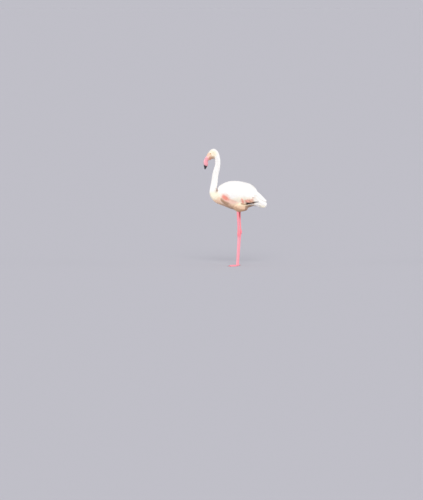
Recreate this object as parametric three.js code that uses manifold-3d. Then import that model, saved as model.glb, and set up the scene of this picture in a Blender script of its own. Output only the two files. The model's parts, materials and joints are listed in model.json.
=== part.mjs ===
// A greater flamingo, life size, standing on both feet with its neck raised and its head bowed.
//
// Units are millimetres and +Z is up. The bird faces -Y, its left side is +X and its tail points
// to +Y. The solids reach out to the tips of the plumage. The body is parted where a person would
// name its parts, with a thin gap between neighbours. The origin lies on the floor, under the
// middle of the bounding box.

import * as THREE from "three";
import { mergeVertices } from "three/addons/utils/BufferGeometryUtils.js";
import Module from "manifold-3d";

const wasm = await Module();
wasm.setup();

const X = new THREE.Vector3(1, 0, 0);
const Y = new THREE.Vector3(0, 1, 0);
const Z = new THREE.Vector3(0, 0, 1);

// ---------------------------------------------------------------- driving dimensions

const GAP = 0.35; // between neighbouring pieces
const ANKLE_HEIGHT = 321; // of the left leg, the joint that bends backwards
const FOOT_KNUCKLE = 16; // height of the joint between leg and toes
const HIP_SPREAD = 45; // half the distance between the legs where they leave the body
const FOOT_SPREAD = 44; // half the distance between the feet
const EYE_RADIUS = 6.5;
const MIDDLE_TOE = 84; // from the knuckle to the root of the claw
const CLAW = 9;
const WEB_THICKNESS = 1.6;

// A section across the body, whose plane holds the X axis. It runs from a point on the upper
// outline of the bird (crown, nape, back) to one on its lower outline (throat, breast, belly), both
// given as y, z, and reaches half to either side. wide is where it is widest, from the lower point
// up, as a share of its height.
const section = (upperY, upperZ, lowerY, lowerZ, half, wide = 0.5) => {
  const upper = new THREE.Vector3(0, upperY, upperZ);
  const lower = new THREE.Vector3(0, lowerY, lowerZ);
  const middle = lower.clone().lerp(upper, wide);
  const side = X.clone().multiplyScalar(half);
  return { middle, up: upper.sub(middle), down: lower.sub(middle), side };
};

// From the root of the bill over the crown and down the neck, then back through the trunk.
const BODY = [
  section(-318, 1097, -292, 1056, 14.5),
  section(-309, 1115, -282, 1058.5, 18.5),
  section(-295, 1140, -271, 1065.5, 22.5),
  section(-275, 1161.5, -262, 1069.5, 25),
  section(-251, 1173, -253, 1071, 25.5),
  section(-224, 1165.5, -245, 1072.5, 25),
  section(-200.5, 1141, -238.5, 1070, 24.5),
  section(-187.5, 1106, -233.5, 1062, 23.5),
  section(-179.5, 1062, -230.5, 1048, 23),
  section(-178, 1020, -231.5, 1012, 24),
  section(-184, 972, -245, 966, 26),
  section(-195, 922, -257, 922, 27.5),
  section(-202, 872, -265.5, 868, 31),
  section(-204.5, 838, -274.5, 820, 36),
  section(-209.5, 806, -281.5, 776, 43),
  section(-213.5, 777, -286, 732, 52),
  section(-209, 759, -272, 686, 62),
  section(-196, 768, -238, 645, 72),
  section(-177, 795, -196, 620, 79),
  section(-143, 817, -143, 601, 84),
  section(-88, 832, -88, 578, 86),
  section(-33, 838, -33, 562, 86),
  section(20, 834, 22, 562, 81),
  section(74, 814, 76, 575, 67),
  section(118, 786, 118, 591, 48),
  section(153, 748, 153, 605, 32),
  section(180, 712, 182, 625, 17),
  section(192, 690, 194, 655, 6),
];
// Where that is parted, as places in the list of sections.
const BODY_PARTS = {
  head: [0, 5.5],
  neck_upper: [5.5, 8.7],
  neck_middle: [8.7, 10.8],
  neck_lower: [10.8, 12.8],
  neck_base: [12.8, 16.5],
  trunk: [16.5, 27],
};

// A section across the wings or tail, upright and facing backwards: the place of its middle, how
// far it reaches up and down from there, and its half width.
const upright = (y, z, up, down, half, x = 0) => ({
  middle: new THREE.Vector3(x, y, z),
  up: Z.clone().multiplyScalar(up),
  down: Z.clone().multiplyScalar(-down),
  side: X.clone().multiplyScalar(half),
});

// The folded wings and the long feathers over the back, as one rounded form round the trunk.
const MANTLE = [
  upright(-209, 753, 6, 6, 8),
  upright(-201, 753, 34, 42, 50),
  upright(-178, 747, 62, 78, 77),
  upright(-130, 739, 96, 110, 92),
  upright(-70, 732, 119, 130, 99),
  upright(0, 728, 121, 130, 99),
  upright(66, 722, 115, 122, 89),
  upright(112, 714, 109, 112, 77),
  upright(148, 704, 100, 98, 66),
  upright(165, 697, 93, 92, 60),
  upright(180, 690, 72, 88, 55),
  upright(200, 681, 59, 87, 49),
  upright(231, 664, 47, 81, 39),
  upright(262, 648, 36, 66, 28),
  upright(281, 638, 24, 43, 17),
  upright(289, 633, 8, 14, 7),
];
// The room below the long feathers at the back, where the tail lies.
const UNDER_MANTLE = [
  upright(96, 658, 7, 150, 30),
  upright(130, 655, 7, 150, 41),
  upright(182, 640, 7, 150, 42),
  upright(212, 624, 7, 150, 37),
  upright(240, 611, 6, 150, 25),
  upright(256, 604, 4, 150, 12),
];
// Side outlines, as [y, z], of what the wing and the long inner flight feathers take of the mantle.
const WING_EDGE = [
  [-213, 777], [-208, 745], [-190, 702], [-156, 664], [-114, 639],
  [-66, 626], [-14, 624], [34, 632], [70, 645],
];
const WING_END = [[92, 672], [128, 708], [158, 750], [176, 800]];
const TERTIAL_EDGE = [
  [72, 642], [120, 643], [165, 630], [203, 606], [236, 586], [262, 585], [281, 598], [298, 644],
];

const TAIL = [
  upright(86, 644, 16, 46, 28),
  upright(128, 641, 15, 41, 35),
  upright(170, 633, 11, 32, 38),
  upright(208, 619, 7, 19, 38),
  upright(238, 607, 3, 7, 28),
];
// The black outer flight feathers, showing below the long white ones on the left side.
const PRIMARIES = [
  upright(62, 623, 2.5, 2.5, 1.6, 54),
  upright(84, 626, 7.5, 7.5, 3, 53.5),
  upright(106, 630.5, 9.5, 9.5, 3.4, 52),
  upright(140, 635, 8, 8, 3.2, 49),
  upright(180, 639, 5, 5, 2.6, 45.5),
  upright(212, 642, 2, 2, 1.6, 41),
];

// A section across the bill, square to its closing line: the place of the line as y, z, how deep
// the lower and the upper half are there, and the half width.
const BILL = [
  { at: [-294, 1100], lower: 22, upper: 17, half: 14 },
  { at: [-306, 1088], lower: 24, upper: 15.5, half: 13.5 },
  { at: [-319, 1073], lower: 27, upper: 14, half: 14 },
  { at: [-330.5, 1055], lower: 30, upper: 13.5, half: 14.5 },
  { at: [-334.5, 1036], lower: 33.5, upper: 13, half: 14.5 },
  { at: [-333, 1016], lower: 33, upper: 11.5, half: 12.5 },
  { at: [-333, 996], lower: 23.5, upper: 8.5, half: 9 },
  { at: [-332, 978], lower: 11.5, upper: 5.5, half: 5.5 },
  { at: [-331.5, 966], lower: 2, upper: 2, half: 2 },
];
const BILL_SEAM = 0.6; // from the closing line to the middle of either half's edge
const BILL_EDGE = 0.4; // how far that edge bulges towards the closing line

const EYE = [18.4, -278, 1125]; // the middle of the left eye

// The legs: where thigh, shank, ankle and foot stand along Y, and how much higher an ankle is than
// the left one.
const LEGS = {
  left: { sign: 1, thigh: -4, hip: -6, ankle: 3, foot: -13, raised: 0 },
  right: { sign: -1, thigh: 23, hip: 12, ankle: 24, foot: 0, raised: 18 },
};
// Toes: name, angle outwards from straight ahead in degrees, length as a share of the middle toe.
const TOES = [
  ["inner", -31, 0.84],
  ["middle", 2, 1],
  ["outer", 34, 0.93],
];

// ---------------------------------------------------------------- shapes

const smoothLine = (points) => new THREE.CatmullRomCurve3(points, false, "centripetal");

/**
 * Rings of points through sections, from one place in their list to another. grow swells the
 * shape on all sides.
 */
function ringsThrough(sections, { rings, segments, grow = 0, from = 0, to = sections.length - 1 }) {
  const line = (part) => smoothLine(sections.map((s) => s[part]));
  const [middles, ups, downs, sides] = ["middle", "up", "down", "side"].map(line);
  const swell = (v) => v.setLength(v.length() + grow);
  return Array.from({ length: rings }, (_, i) => {
    const t = (from + ((to - from) * i) / (rings - 1)) / (sections.length - 1);
    const middle = middles.getPoint(t);
    const onward = middles.getTangent(t).multiplyScalar(grow);
    if (i === 0) middle.sub(onward);
    if (i === rings - 1) middle.add(onward);
    const up = swell(ups.getPoint(t));
    const down = swell(downs.getPoint(t));
    const side = swell(sides.getPoint(t));
    return Array.from({ length: segments }, (_, j) => {
      const angle = (2 * Math.PI * j) / segments;
      const lift = Math.cos(angle);
      return middle
        .clone()
        .addScaledVector(lift > 0 ? up : down, Math.abs(lift))
        .addScaledVector(side, Math.sin(angle));
    });
  });
}

/**
 * A closed surface through rings of points, with a fan of triangles over each end. The faces of one
 * half of each ring mirror those of the other half.
 */
function loftGeometry(rings) {
  const count = rings[0].length;
  const points = rings.flat();
  const index = [];
  for (let i = 0; i + 1 < rings.length; i++) {
    for (let j = 0; j < count; j++) {
      const a = i * count + j;
      const b = i * count + ((j + 1) % count);
      if (j < count / 2) index.push(a, b, b + count, a, b + count, a + count);
      else index.push(a, b, a + count, b, b + count, a + count);
    }
  }
  const middleOf = (ring) =>
    ring.reduce((sum, p) => sum.add(p), new THREE.Vector3()).divideScalar(count);
  const last = (rings.length - 1) * count;
  points.push(middleOf(rings[0]), middleOf(rings.at(-1)));
  for (let j = 0; j < count; j++) {
    const next = (j + 1) % count;
    index.push(points.length - 2, next, j);
    index.push(points.length - 1, last + j, last + next);
  }
  return new THREE.BufferGeometry().setFromPoints(points).setIndex(index);
}

/** A geometry as a solid that can be joined and cut. */
function solid(geometry) {
  const bare = geometry.clone();
  bare.deleteAttribute("normal");
  bare.deleteAttribute("uv");
  const merged = mergeVertices(bare, 1e-4);
  return new wasm.Manifold(
    new wasm.Mesh({
      numProp: 3,
      vertProperties: new Float32Array(merged.attributes.position.array),
      triVerts: new Uint32Array(merged.index.array),
    }),
  );
}

/** A loft through sections. It is turned right side out, whichever way its rings run. */
function loft(sections, options) {
  const geometry = loftGeometry(ringsThrough(sections, options));
  const first = solid(geometry);
  if (first.volume() > 0) return first;
  geometry.index.array.reverse();
  return solid(geometry);
}

const ball = (radius, middle, detail = 12) =>
  solid(new THREE.SphereGeometry(radius, detail, detail / 2).translate(...middle));

/** A flat outline in the plane of the bird, [y, z] points, as a slab from x = low to x = high. */
function slab(outline, low, high) {
  const shape = new THREE.Shape(outline.map(([y, z]) => new THREE.Vector2(y, z)));
  const geometry = new THREE.ExtrudeGeometry(shape, { depth: high - low, bevelEnabled: false });
  // The shape's own x, y and depth become y, z and x.
  const turn = new THREE.Matrix4().makeBasis(Y, Z, X);
  return solid(geometry.applyMatrix4(turn.setPosition(low, 0, 0)));
}

/** Points along a smooth line through the given [y, z] points. */
const smooth = (points, count) =>
  new THREE.SplineCurve(points.map(([y, z]) => new THREE.Vector2(y, z)))
    .getPoints(count)
    .map((p) => [p.x, p.y]);

const mirrored = (shape) => shape.mirror([1, 0, 0]);

/** What is above one height and below another. */
const level = (shape, low, high) => shape.trimByPlane([0, 0, 1], low).trimByPlane([0, 0, -1], -high);

/** The largest connected body, without the slivers that a cut leaves. */
const main = (shape) => shape.decompose().sort((a, b) => b.volume() - a.volume())[0];

// ---------------------------------------------------------------- the group of named pieces

const flamingo = new THREE.Group();
const finish = (color, roughness) =>
  new THREE.MeshStandardMaterial({ color, roughness, metalness: 0 });
const LOOKS = {
  plumage: () => finish(0xf6f1e6, 0.85),
  flight: () => finish(0x17120f, 0.6),
  bill: () => finish(0xf29aa4, 0.4),
  bare: () => finish(0xf08a92, 0.55),
  claw: () => finish(0x2a2226, 0.5),
  eye: () => finish(0xe8c445, 0.1),
};

function add(name, shape, look) {
  const mesh = shape.getMesh();
  const geometry = new THREE.BufferGeometry()
    .setAttribute("position", new THREE.Float32BufferAttribute(mesh.vertProperties, 3))
    .setIndex(new THREE.BufferAttribute(mesh.triVerts, 1));
  geometry.computeVertexNormals();
  const made = new THREE.Mesh(geometry, LOOKS[look]());
  made.name = name;
  flamingo.add(made);
}

/** The same piece on both sides of the bird. */
function addPair(name, left, look) {
  add(`${name}_left`, left, look);
  add(`${name}_right`, mirrored(left), look);
}

// ---------------------------------------------------------------- head, neck and trunk

const RINGS_PER_SECTION = 2;
const bodyForm = (from, to, grow = 0) =>
  loft(BODY, {
    rings: Math.ceil(RINGS_PER_SECTION * (to - from)) + 1,
    segments: 16,
    from,
    to,
    grow,
  });

/** The plane of the section at a place in the body's list: facing the bill, and its offset. */
function planeAt(place) {
  const share = place / (BODY.length - 1);
  const at = (part) => smoothLine(BODY.map((s) => s[part])).getPoint(share);
  const facing = X.clone().cross(at("up")).normalize();
  return { normal: facing.toArray(), offset: facing.dot(at("middle")) };
}

const LAST = BODY.length - 1;
const bodyParts = Object.fromEntries(
  Object.entries(BODY_PARTS).map(([name, [from, to]]) => {
    // Each part starts out a little too long, by whole steps from ring to ring.
    const wholeStep = (place) => Math.round(place * RINGS_PER_SECTION) / RINGS_PER_SECTION;
    let part = bodyForm(Math.max(wholeStep(from) - 0.5, 0), Math.min(wholeStep(to) + 0.5, LAST));
    const start = planeAt(from);
    const end = planeAt(to);
    const behind = start.normal.map((n) => -n);
    if (from > 0) part = part.trimByPlane(behind, -start.offset + GAP / 2);
    if (to < LAST) part = part.trimByPlane(end.normal, end.offset + GAP / 2);
    return [name, main(part)];
  }),
);
const roomForBody = bodyForm(0, LAST, GAP);

const eyeSocket = ball(EYE_RADIUS + GAP, EYE);
bodyParts.head = bodyParts.head.subtract(eyeSocket).subtract(mirrored(eyeSocket));
addPair("eye", ball(EYE_RADIUS, EYE), "eye");

// ---------------------------------------------------------------- bill

/** One half of the bill, on its own side of the closing line. */
function billHalf(isUpper) {
  const line = smoothLine(BILL.map(({ at: [y, z] }) => new THREE.Vector3(0, y, z)));
  const sections = BILL.map(({ at: [y, z], lower, upper, half }, i) => {
    const ahead = line.getTangent(i / (BILL.length - 1));
    const outward = ahead.clone().cross(X);
    const edge = isUpper ? BILL_SEAM : -BILL_SEAM;
    return {
      middle: new THREE.Vector3(0, y, z).addScaledVector(outward, edge),
      up: outward.clone().multiplyScalar(isUpper ? upper : BILL_EDGE),
      down: outward.clone().multiplyScalar(isUpper ? -BILL_EDGE : -lower),
      side: X.clone().multiplyScalar(isUpper ? half * 0.92 : half),
    };
  });
  return loft(sections, { rings: 17, segments: 12 });
}
add("bill_upper", main(billHalf(true).subtract(roomForBody)), "bill");
add("bill_lower", main(billHalf(false).subtract(roomForBody)), "bill");

// ---------------------------------------------------------------- wings and tail

const mantle = loft(MANTLE, { rings: 22, segments: 22 });
const underMantle = loft(UNDER_MANTLE, { rings: 6, segments: 8 });
const primariesForm = (grow) => loft(PRIMARIES, { rings: 8, segments: 6, grow });
const tailForm = (grow) => loft(TAIL, { rings: 6, segments: 10, grow });
const primariesRoom = primariesForm(GAP);
const roomForPrimaries = primariesRoom.add(mirrored(primariesRoom));
const roomForTail = tailForm(GAP);

const WIDE = 130; // past either side of the bird
const END_Y = WING_END.at(-1)[0];
const HIGH = 900; // over the back
const endLine = smooth(WING_END, 5);
// The wing lies ahead of its end line, the long feathers behind it.
const wingOutline = [...smooth(WING_EDGE, 11), ...endLine, [END_Y, HIGH], [WING_EDGE[0][0], HIGH]];
const tertialOutline = [
  ...smooth(TERTIAL_EDGE, 10),
  [TERTIAL_EDGE.at(-1)[0], HIGH],
  [END_Y + 2 * GAP, HIGH],
  ...endLine.toReversed().map(([y, z]) => [y + 2 * GAP, z]),
];
const ofTheMantle = (outline) =>
  mantle
    .intersect(slab(outline, GAP / 2, WIDE))
    .subtract(roomForBody)
    .subtract(roomForPrimaries)
    .subtract(roomForTail);

const leftWing = ofTheMantle(wingOutline);
addPair("tertials", main(ofTheMantle(tertialOutline).subtract(underMantle)), "plumage");
addPair("primaries", primariesForm(0), "flight");
add("tail", main(tailForm(0).subtract(roomForBody)), "plumage");
bodyParts.trunk = bodyParts.trunk.subtract(roomForPrimaries);
for (const [name, shape] of Object.entries(bodyParts)) add(name, main(shape), "plumage");

// ---------------------------------------------------------------- feet

/** Round sections along a straight toe or claw, from [along, height, radius] rows. */
const roundSections = (ahead, rows) => {
  const side = ahead.clone().cross(Z).normalize();
  return rows.map(([along, height, radius]) => ({
    middle: ahead.clone().multiplyScalar(along).setZ(height),
    up: Z.clone().multiplyScalar(radius),
    down: Z.clone().multiplyScalar(-radius),
    side: side.clone().multiplyScalar(radius),
  }));
};

const turned = (degrees) => {
  const angle = THREE.MathUtils.degToRad(degrees);
  return new THREE.Vector3(Math.sin(angle), -Math.cos(angle), 0);
};

/** A front toe, with a swelling at each of its joints. It starts in the knuckle over the origin. */
function frontToe(angle, share) {
  const ahead = turned(angle);
  const length = MIDDLE_TOE * share;
  const rows = [
    [0, 9, 7],
    [0.12, 5.6, 6.4],
    [0.29, 3.8, 4.6],
    [0.34, 4, 5],
    [0.42, 3.5, 4.3],
    [0.6, 3.2, 4],
    [0.65, 3.3, 4.3],
    [0.72, 2.9, 3.7],
    [0.94, 2.5, 3.3],
    [1, 2.4, 2.4],
  ].map(([share, height, radius]) => [share * length, height, radius]);
  return { ahead, length, sections: roundSections(ahead, rows), end: 2.4 };
}

/** The short hind toe, which stays clear of the floor. */
function hindToe(outward) {
  const ahead = turned(180 - 16 * outward);
  const rows = [
    [3, 12.5, 4],
    [12, 10, 3.3],
    [20, 7.2, 2.8],
    [25, 5.8, 1.8],
  ];
  return { ahead, length: 25, sections: roundSections(ahead, rows), end: 5.8 };
}

/** The skin between two toes: a thin plate with a hollowed front edge. */
function web(first, second) {
  const a = first.ahead.clone().multiplyScalar(first.length * 0.93);
  const b = second.ahead.clone().multiplyScalar(second.length * 0.93);
  const hollow = a.clone().add(b).multiplyScalar(0.41);
  const shape = new THREE.Shape()
    .moveTo(0, 4)
    .lineTo(a.x, a.y)
    .quadraticCurveTo(hollow.x, hollow.y, b.x, b.y)
    .closePath();
  const plate = new THREE.ExtrudeGeometry(shape, {
    depth: WEB_THICKNESS,
    bevelEnabled: false,
    curveSegments: 4,
  });
  return solid(plate.translate(0, 0, 0.3));
}

/** A claw at a toe's end, bent down by drop. */
function claw({ ahead, length, end }, size, drop) {
  const rows = [
    [length - size * 0.25, end, 2],
    [length + size * 0.15, end + 0.5, 2.1],
    [length + size * 0.6, end - drop * 0.3, 1.4],
    [length + size, end - drop, 0.5],
  ];
  return loft(roundSections(ahead, rows), { rings: 5, segments: 6 });
}

/** A foot with its knuckle over the origin, and its claws. outward is 1 for the left foot. */
function foot(outward) {
  const toes = TOES.map(([name, angle, share]) => ({ name, ...frontToe(angle * outward, share) }));
  const hind = { name: "hind", ...hindToe(outward) };
  const toeLoft = (toe, grow = 0) => loft(toe.sections, { rings: 9, segments: 6, grow });
  const flesh = [...toes, hind]
    .map((toe) => toeLoft(toe))
    .concat(web(toes[0], toes[1]), web(toes[1], toes[2]))
    .reduce((sum, piece) => sum.add(piece), ball(9.5, [0, 0, 8.5], 10));
  const claws = [...toes, hind].map((toe) => {
    const shape = toe === hind ? claw(toe, CLAW * 0.7, 3.2) : claw(toe, CLAW, 1.9);
    return [toe.name, main(shape.subtract(toeLoft(toe, GAP)).trimByPlane([0, 0, 1], 0))];
  });
  return { flesh: level(flesh, 0, FOOT_KNUCKLE - GAP / 2), claws };
}

// ---------------------------------------------------------------- legs

/** Level sections down a limb from one point to another, from [share, back, front, half] rows. */
const limbSections = (top, bottom, rows) =>
  rows.map(([share, back, front, half]) => ({
    middle: top.clone().lerp(bottom, share),
    up: Y.clone().multiplyScalar(back),
    down: Y.clone().multiplyScalar(-front),
    side: X.clone().multiplyScalar(half),
  }));

const THIGH = [
  [0, 58, 58, 30],
  [0.35, 68, 62, 31],
  [0.6, 68, 56, 28],
  [0.8, 60, 43, 23],
  [0.93, 41, 29, 16],
  [1, 20, 15, 11],
];
const SHANK = [
  [0, 12.5, 12, 11],
  [0.12, 11.8, 11.4, 10.4],
  [0.3, 9.6, 9.4, 9],
  [0.5, 8.6, 8.4, 7.8],
  [0.85, 8.4, 8.2, 7.6],
  [1, 9.8, 9.2, 9.6],
];
const ANKLE = [
  [0, 9.8, 9.2, 9.6],
  [0.3, 15, 12, 12.6],
  [0.66, 15.2, 12.2, 12.4],
  [1, 9.8, 9, 9],
];
const TARSUS = [
  [0, 9.8, 9, 9],
  [0.08, 8.4, 8, 7.6],
  [0.5, 7.6, 7.6, 6.6],
  [0.93, 7.6, 7.8, 7],
  [1, 8.2, 8, 7.8],
];
const THIGH_TOP = 636; // height, inside the trunk
const THIGH_END = 546; // height where its feathers stop
const THIGH_LEAN = 12; // how far its lower end lies behind its upper end
const SHANK_TOP = 575; // height, inside the thigh
const ANKLE_REACH = 25; // up and down the leg from the ankle's middle

for (const [side, { sign, thigh, hip, ankle, foot: footY, raised }] of Object.entries(LEGS)) {
  const hipPoint = new THREE.Vector3(sign * HIP_SPREAD, hip, SHANK_TOP);
  const anklePoint = new THREE.Vector3(sign * (HIP_SPREAD - 1), ankle, ANKLE_HEIGHT + raised);
  const sole = new THREE.Vector3(sign * FOOT_SPREAD, footY, 0);
  const alongLeg = (end) =>
    anklePoint.clone().addScaledVector(end.clone().sub(anklePoint).normalize(), ANKLE_REACH);
  const ankleTop = alongLeg(hipPoint);
  const ankleBottom = alongLeg(sole);
  const knuckle = anklePoint.clone().lerp(sole, 1 - FOOT_KNUCKLE / anklePoint.z);

  const thighTop = new THREE.Vector3(sign * HIP_SPREAD, thigh, THIGH_TOP);
  const thighEnd = new THREE.Vector3(sign * HIP_SPREAD, thighTop.y + THIGH_LEAN, THIGH_END);
  const thighSections = limbSections(thighTop, thighEnd, THIGH);
  const thighForm = (grow) => loft(thighSections, { rings: 9, segments: 14, grow });
  const roomForThigh = thighForm(GAP);
  const shankForm = loft(limbSections(hipPoint, ankleTop, SHANK), { rings: 8, segments: 12 });
  const ankleForm = loft(limbSections(ankleTop, ankleBottom, ANKLE), { rings: 8, segments: 12 });
  const tarsusForm = loft(limbSections(ankleBottom, knuckle, TARSUS), { rings: 9, segments: 12 });

  const wing = sign > 0 ? leftWing : mirrored(leftWing);
  add(`wing_${side}`, main(wing.subtract(roomForThigh)), "plumage");
  add(`thigh_${side}`, main(thighForm(0).subtract(roomForBody).subtract(roomForPrimaries)), "plumage");
  add(`shank_${side}`, main(shankForm.subtract(roomForThigh)), "bare");
  add(`ankle_${side}`, level(ankleForm, ankleBottom.z + GAP, ankleTop.z - GAP), "bare");
  add(`tarsus_${side}`, level(tarsusForm, knuckle.z + GAP / 2, ankleBottom.z), "bare");

  const { flesh, claws } = foot(sign);
  const place = (shape) => shape.translate([sole.x, sole.y, 0]);
  add(`foot_${side}`, place(flesh), "bare");
  for (const [toe, shape] of claws) add(`claw_${side}_${toe}`, place(shape), "claw");
}

// ---------------------------------------------------------------- origin

const box = new THREE.Box3().setFromObject(flamingo);
const middle = box.getCenter(new THREE.Vector3());
flamingo.position.set(-middle.x, -middle.y, -box.min.z);

export default flamingo;
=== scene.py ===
"""A greater flamingo, life size, as a museum shows it: skin, plumage, bill, eyes and a plain stage.

Sizes in the tables are millimetres, on the same axes as the CAD part but for BACK, which is how far
the part's origin lies ahead of the middle of the hips. The bird faces -Y and its left side is +X.
"""

import json
import math

import bpy
import numpy as np
from bpy.props import FloatProperty, FloatVectorProperty, PointerProperty
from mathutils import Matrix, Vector
from mathutils.bvhtree import BVHTree

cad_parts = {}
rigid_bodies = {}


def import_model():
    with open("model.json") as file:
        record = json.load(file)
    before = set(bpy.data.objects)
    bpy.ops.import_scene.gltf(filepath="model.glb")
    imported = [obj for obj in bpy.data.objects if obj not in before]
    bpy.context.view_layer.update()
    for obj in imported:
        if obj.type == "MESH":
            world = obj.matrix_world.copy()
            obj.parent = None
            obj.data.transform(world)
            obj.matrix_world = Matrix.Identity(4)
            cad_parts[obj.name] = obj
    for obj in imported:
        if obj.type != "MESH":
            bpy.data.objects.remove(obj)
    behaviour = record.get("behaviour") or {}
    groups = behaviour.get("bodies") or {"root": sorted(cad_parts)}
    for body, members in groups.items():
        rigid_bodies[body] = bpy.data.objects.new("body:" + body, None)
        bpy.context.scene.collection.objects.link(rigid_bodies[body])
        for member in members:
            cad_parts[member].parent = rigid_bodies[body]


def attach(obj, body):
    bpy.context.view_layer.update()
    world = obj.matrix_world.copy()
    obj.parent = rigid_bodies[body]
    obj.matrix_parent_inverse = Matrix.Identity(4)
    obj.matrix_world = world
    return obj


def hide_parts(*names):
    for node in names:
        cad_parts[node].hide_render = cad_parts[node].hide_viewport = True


bl_info = {
    "name": "Greater flamingo",
    "version": (1, 0, 0),
    "blender": (4, 5, 0),
    "location": "3D View > Sidebar > Flamingo",
    "description": "Builds a life-size greater flamingo with its plumage, over the CAD part",
    "category": "Object",
}

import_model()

BACK = 29.54
MM = 0.001
# The seeds of what falls by chance in the plumage and in the wings.
PLUMAGE_SEED = 11
WING_SEED = 23
# Steps in which the lines of the plumage are followed along a form.
TRACT_STEPS = 220
# The stage, in metres and radians.
FLOOR_HALF = 500.0
CAMERA_AIM = (0, -0.237, 0.16)
CAMERA_RISE = math.radians(3.75)

# ---------------------------------------------------------------- the shape of the bird

# Sections across the body, from the root of the bill over the crown, down the neck and back
# through the trunk: upper outline y, z; lower outline y, z; half width.
BODY = [
    (-318, 1097, -292, 1056, 14.5),
    (-309, 1115, -282, 1058.5, 18.5),
    (-295, 1140, -271, 1065.5, 22.5),
    (-275, 1161.5, -262, 1069.5, 25),
    (-251, 1173, -253, 1071, 25.5),
    (-224, 1165.5, -245, 1072.5, 25),
    (-200.5, 1141, -238.5, 1070, 24.5),
    (-187.5, 1106, -233.5, 1062, 23.5),
    (-179.5, 1062, -230.5, 1048, 23),
    (-178, 1020, -231.5, 1012, 24),
    (-184, 972, -245, 966, 26),
    (-195, 922, -257, 922, 27.5),
    (-202, 872, -265.5, 868, 31),
    (-204.5, 838, -274.5, 820, 36),
    (-209.5, 806, -281.5, 776, 43),
    (-213.5, 777, -286, 732, 52),
    (-209, 759, -272, 686, 62),
    (-196, 768, -238, 645, 72),
    (-177, 795, -196, 620, 79),
    (-143, 817, -143, 601, 84),
    (-88, 832, -88, 578, 86),
    (-33, 838, -33, 562, 86),
    (20, 834, 22, 562, 81),
    (74, 814, 76, 575, 67),
    (118, 786, 118, 591, 48),
    (153, 748, 153, 605, 32),
    (180, 712, 182, 625, 17),
    (192, 690, 194, 655, 6),
]
# Depth of the plumage over the skin at places in that list.
BODY_DEPTH = [(0, 0.8), (4, 1), (6, 1.6), (9, 2.2), (12, 3.5), (14, 5.5), (16.5, 7), (27, 7.5)]

# Upright sections across the folded wings and the feathers over the back:
# y, z of the middle; reach up and down; half width.
MANTLE = [
    (-209, 753, 6, 6, 8),
    (-201, 753, 34, 42, 50),
    (-178, 747, 62, 78, 77),
    (-130, 739, 96, 110, 92),
    (-70, 732, 119, 130, 99),
    (0, 728, 121, 130, 99),
    (66, 722, 115, 122, 89),
    (112, 714, 109, 112, 77),
    (148, 704, 100, 98, 66),
    (165, 697, 93, 92, 60),
    (180, 690, 72, 88, 55),
    (200, 681, 59, 87, 49),
    (231, 664, 47, 81, 39),
    (262, 648, 36, 66, 28),
    (281, 638, 24, 43, 17),
    (289, 633, 8, 14, 7),
]
MANTLE_DEPTH = 8
# Side outline of the wing's lower edge and of the ends of the long inner flight feathers: y, z.
WING_EDGE = [
    (-208, 745), (-190, 702), (-156, 664), (-114, 641), (-66, 630), (-14, 628), (34, 634),
    (78, 645),
]
# Coverts in a row along that edge, and how far one row lies above the other.
COVERTS_A_ROW = 62
COVERT_STEP = 8.5
TERTIAL_ENDS = [
    (118, 640), (160, 625), (200, 601), (232, 583), (258, 581), (279, 594), (288, 622),
]
TAIL = [
    (86, 644, 16, 46, 28), (128, 641, 15, 41, 35), (170, 633, 11, 32, 38), (208, 619, 7, 19, 38),
    (238, 607, 3, 7, 28),
]
# The outer flight feathers of the left wing: y, z, half height, x.
PRIMARIES = [
    (62, 623, 2.5, 54), (84, 626, 7.5, 53.5), (106, 630.5, 9.5, 52), (140, 635, 8, 49),
    (180, 639, 5, 45.5), (212, 642, 2, 41),
]

# Sections across the bill: closing line y, z; depth of the lower and the upper half; half width.
BILL = [
    (-294, 1100, 22, 17, 14),
    (-306, 1088, 24, 15.5, 13.5),
    (-319, 1073, 27, 14, 14),
    (-330.5, 1055, 30, 13.5, 14.5),
    (-334.5, 1036, 33.5, 13, 14.5),
    (-333, 1016, 33, 11.5, 12.5),
    (-333, 996, 23.5, 8.5, 9),
    (-332, 978, 11.5, 5.5, 5.5),
    (-331.5, 966, 2, 2, 2),
]
BILL_SEAM = 0.6
UPPER_BILL_WIDTH = 0.92
BILL_TIP = 1009  # height where its colour turns dark

EYE = np.array([18.4, -278.0, 1125.0])
EYE_RADIUS = 6.5
EYE_FACING = np.array([0.985, -0.16, 0.06])
LID_OPENING = (4.9, 4.3)  # half the width and height of the open eye
LID_REACH = 8.2
# Degrees from the eye's axis to the borders of pupil and iris.
PUPIL = 15.5
IRIS = 45.0

SIDES = ((1, "left"), (-1, "right"))

HIP_SPREAD = 45
FOOT_SPREAD = 44
ANKLE_HEIGHT = 321
SHANK_TOP = 575
THIGH_TOP = 636
THIGH_END = 546
THIGH_LEAN = 12
THIGH_AT = {1: -4, -1: 23}  # along y, by the side
THIGH_DEPTH = 6
KNUCKLE = 16
KNUCKLE_HEIGHT = 8.9
KNUCKLE_RADIUS = 9.4
# The legs: side, name, y of hip, ankle and foot, and how much higher an ankle is than the left.
LEGS = [(1, "left", -6, 3, -13, 0), (-1, "right", 12, 24, 0, 18)]
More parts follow.
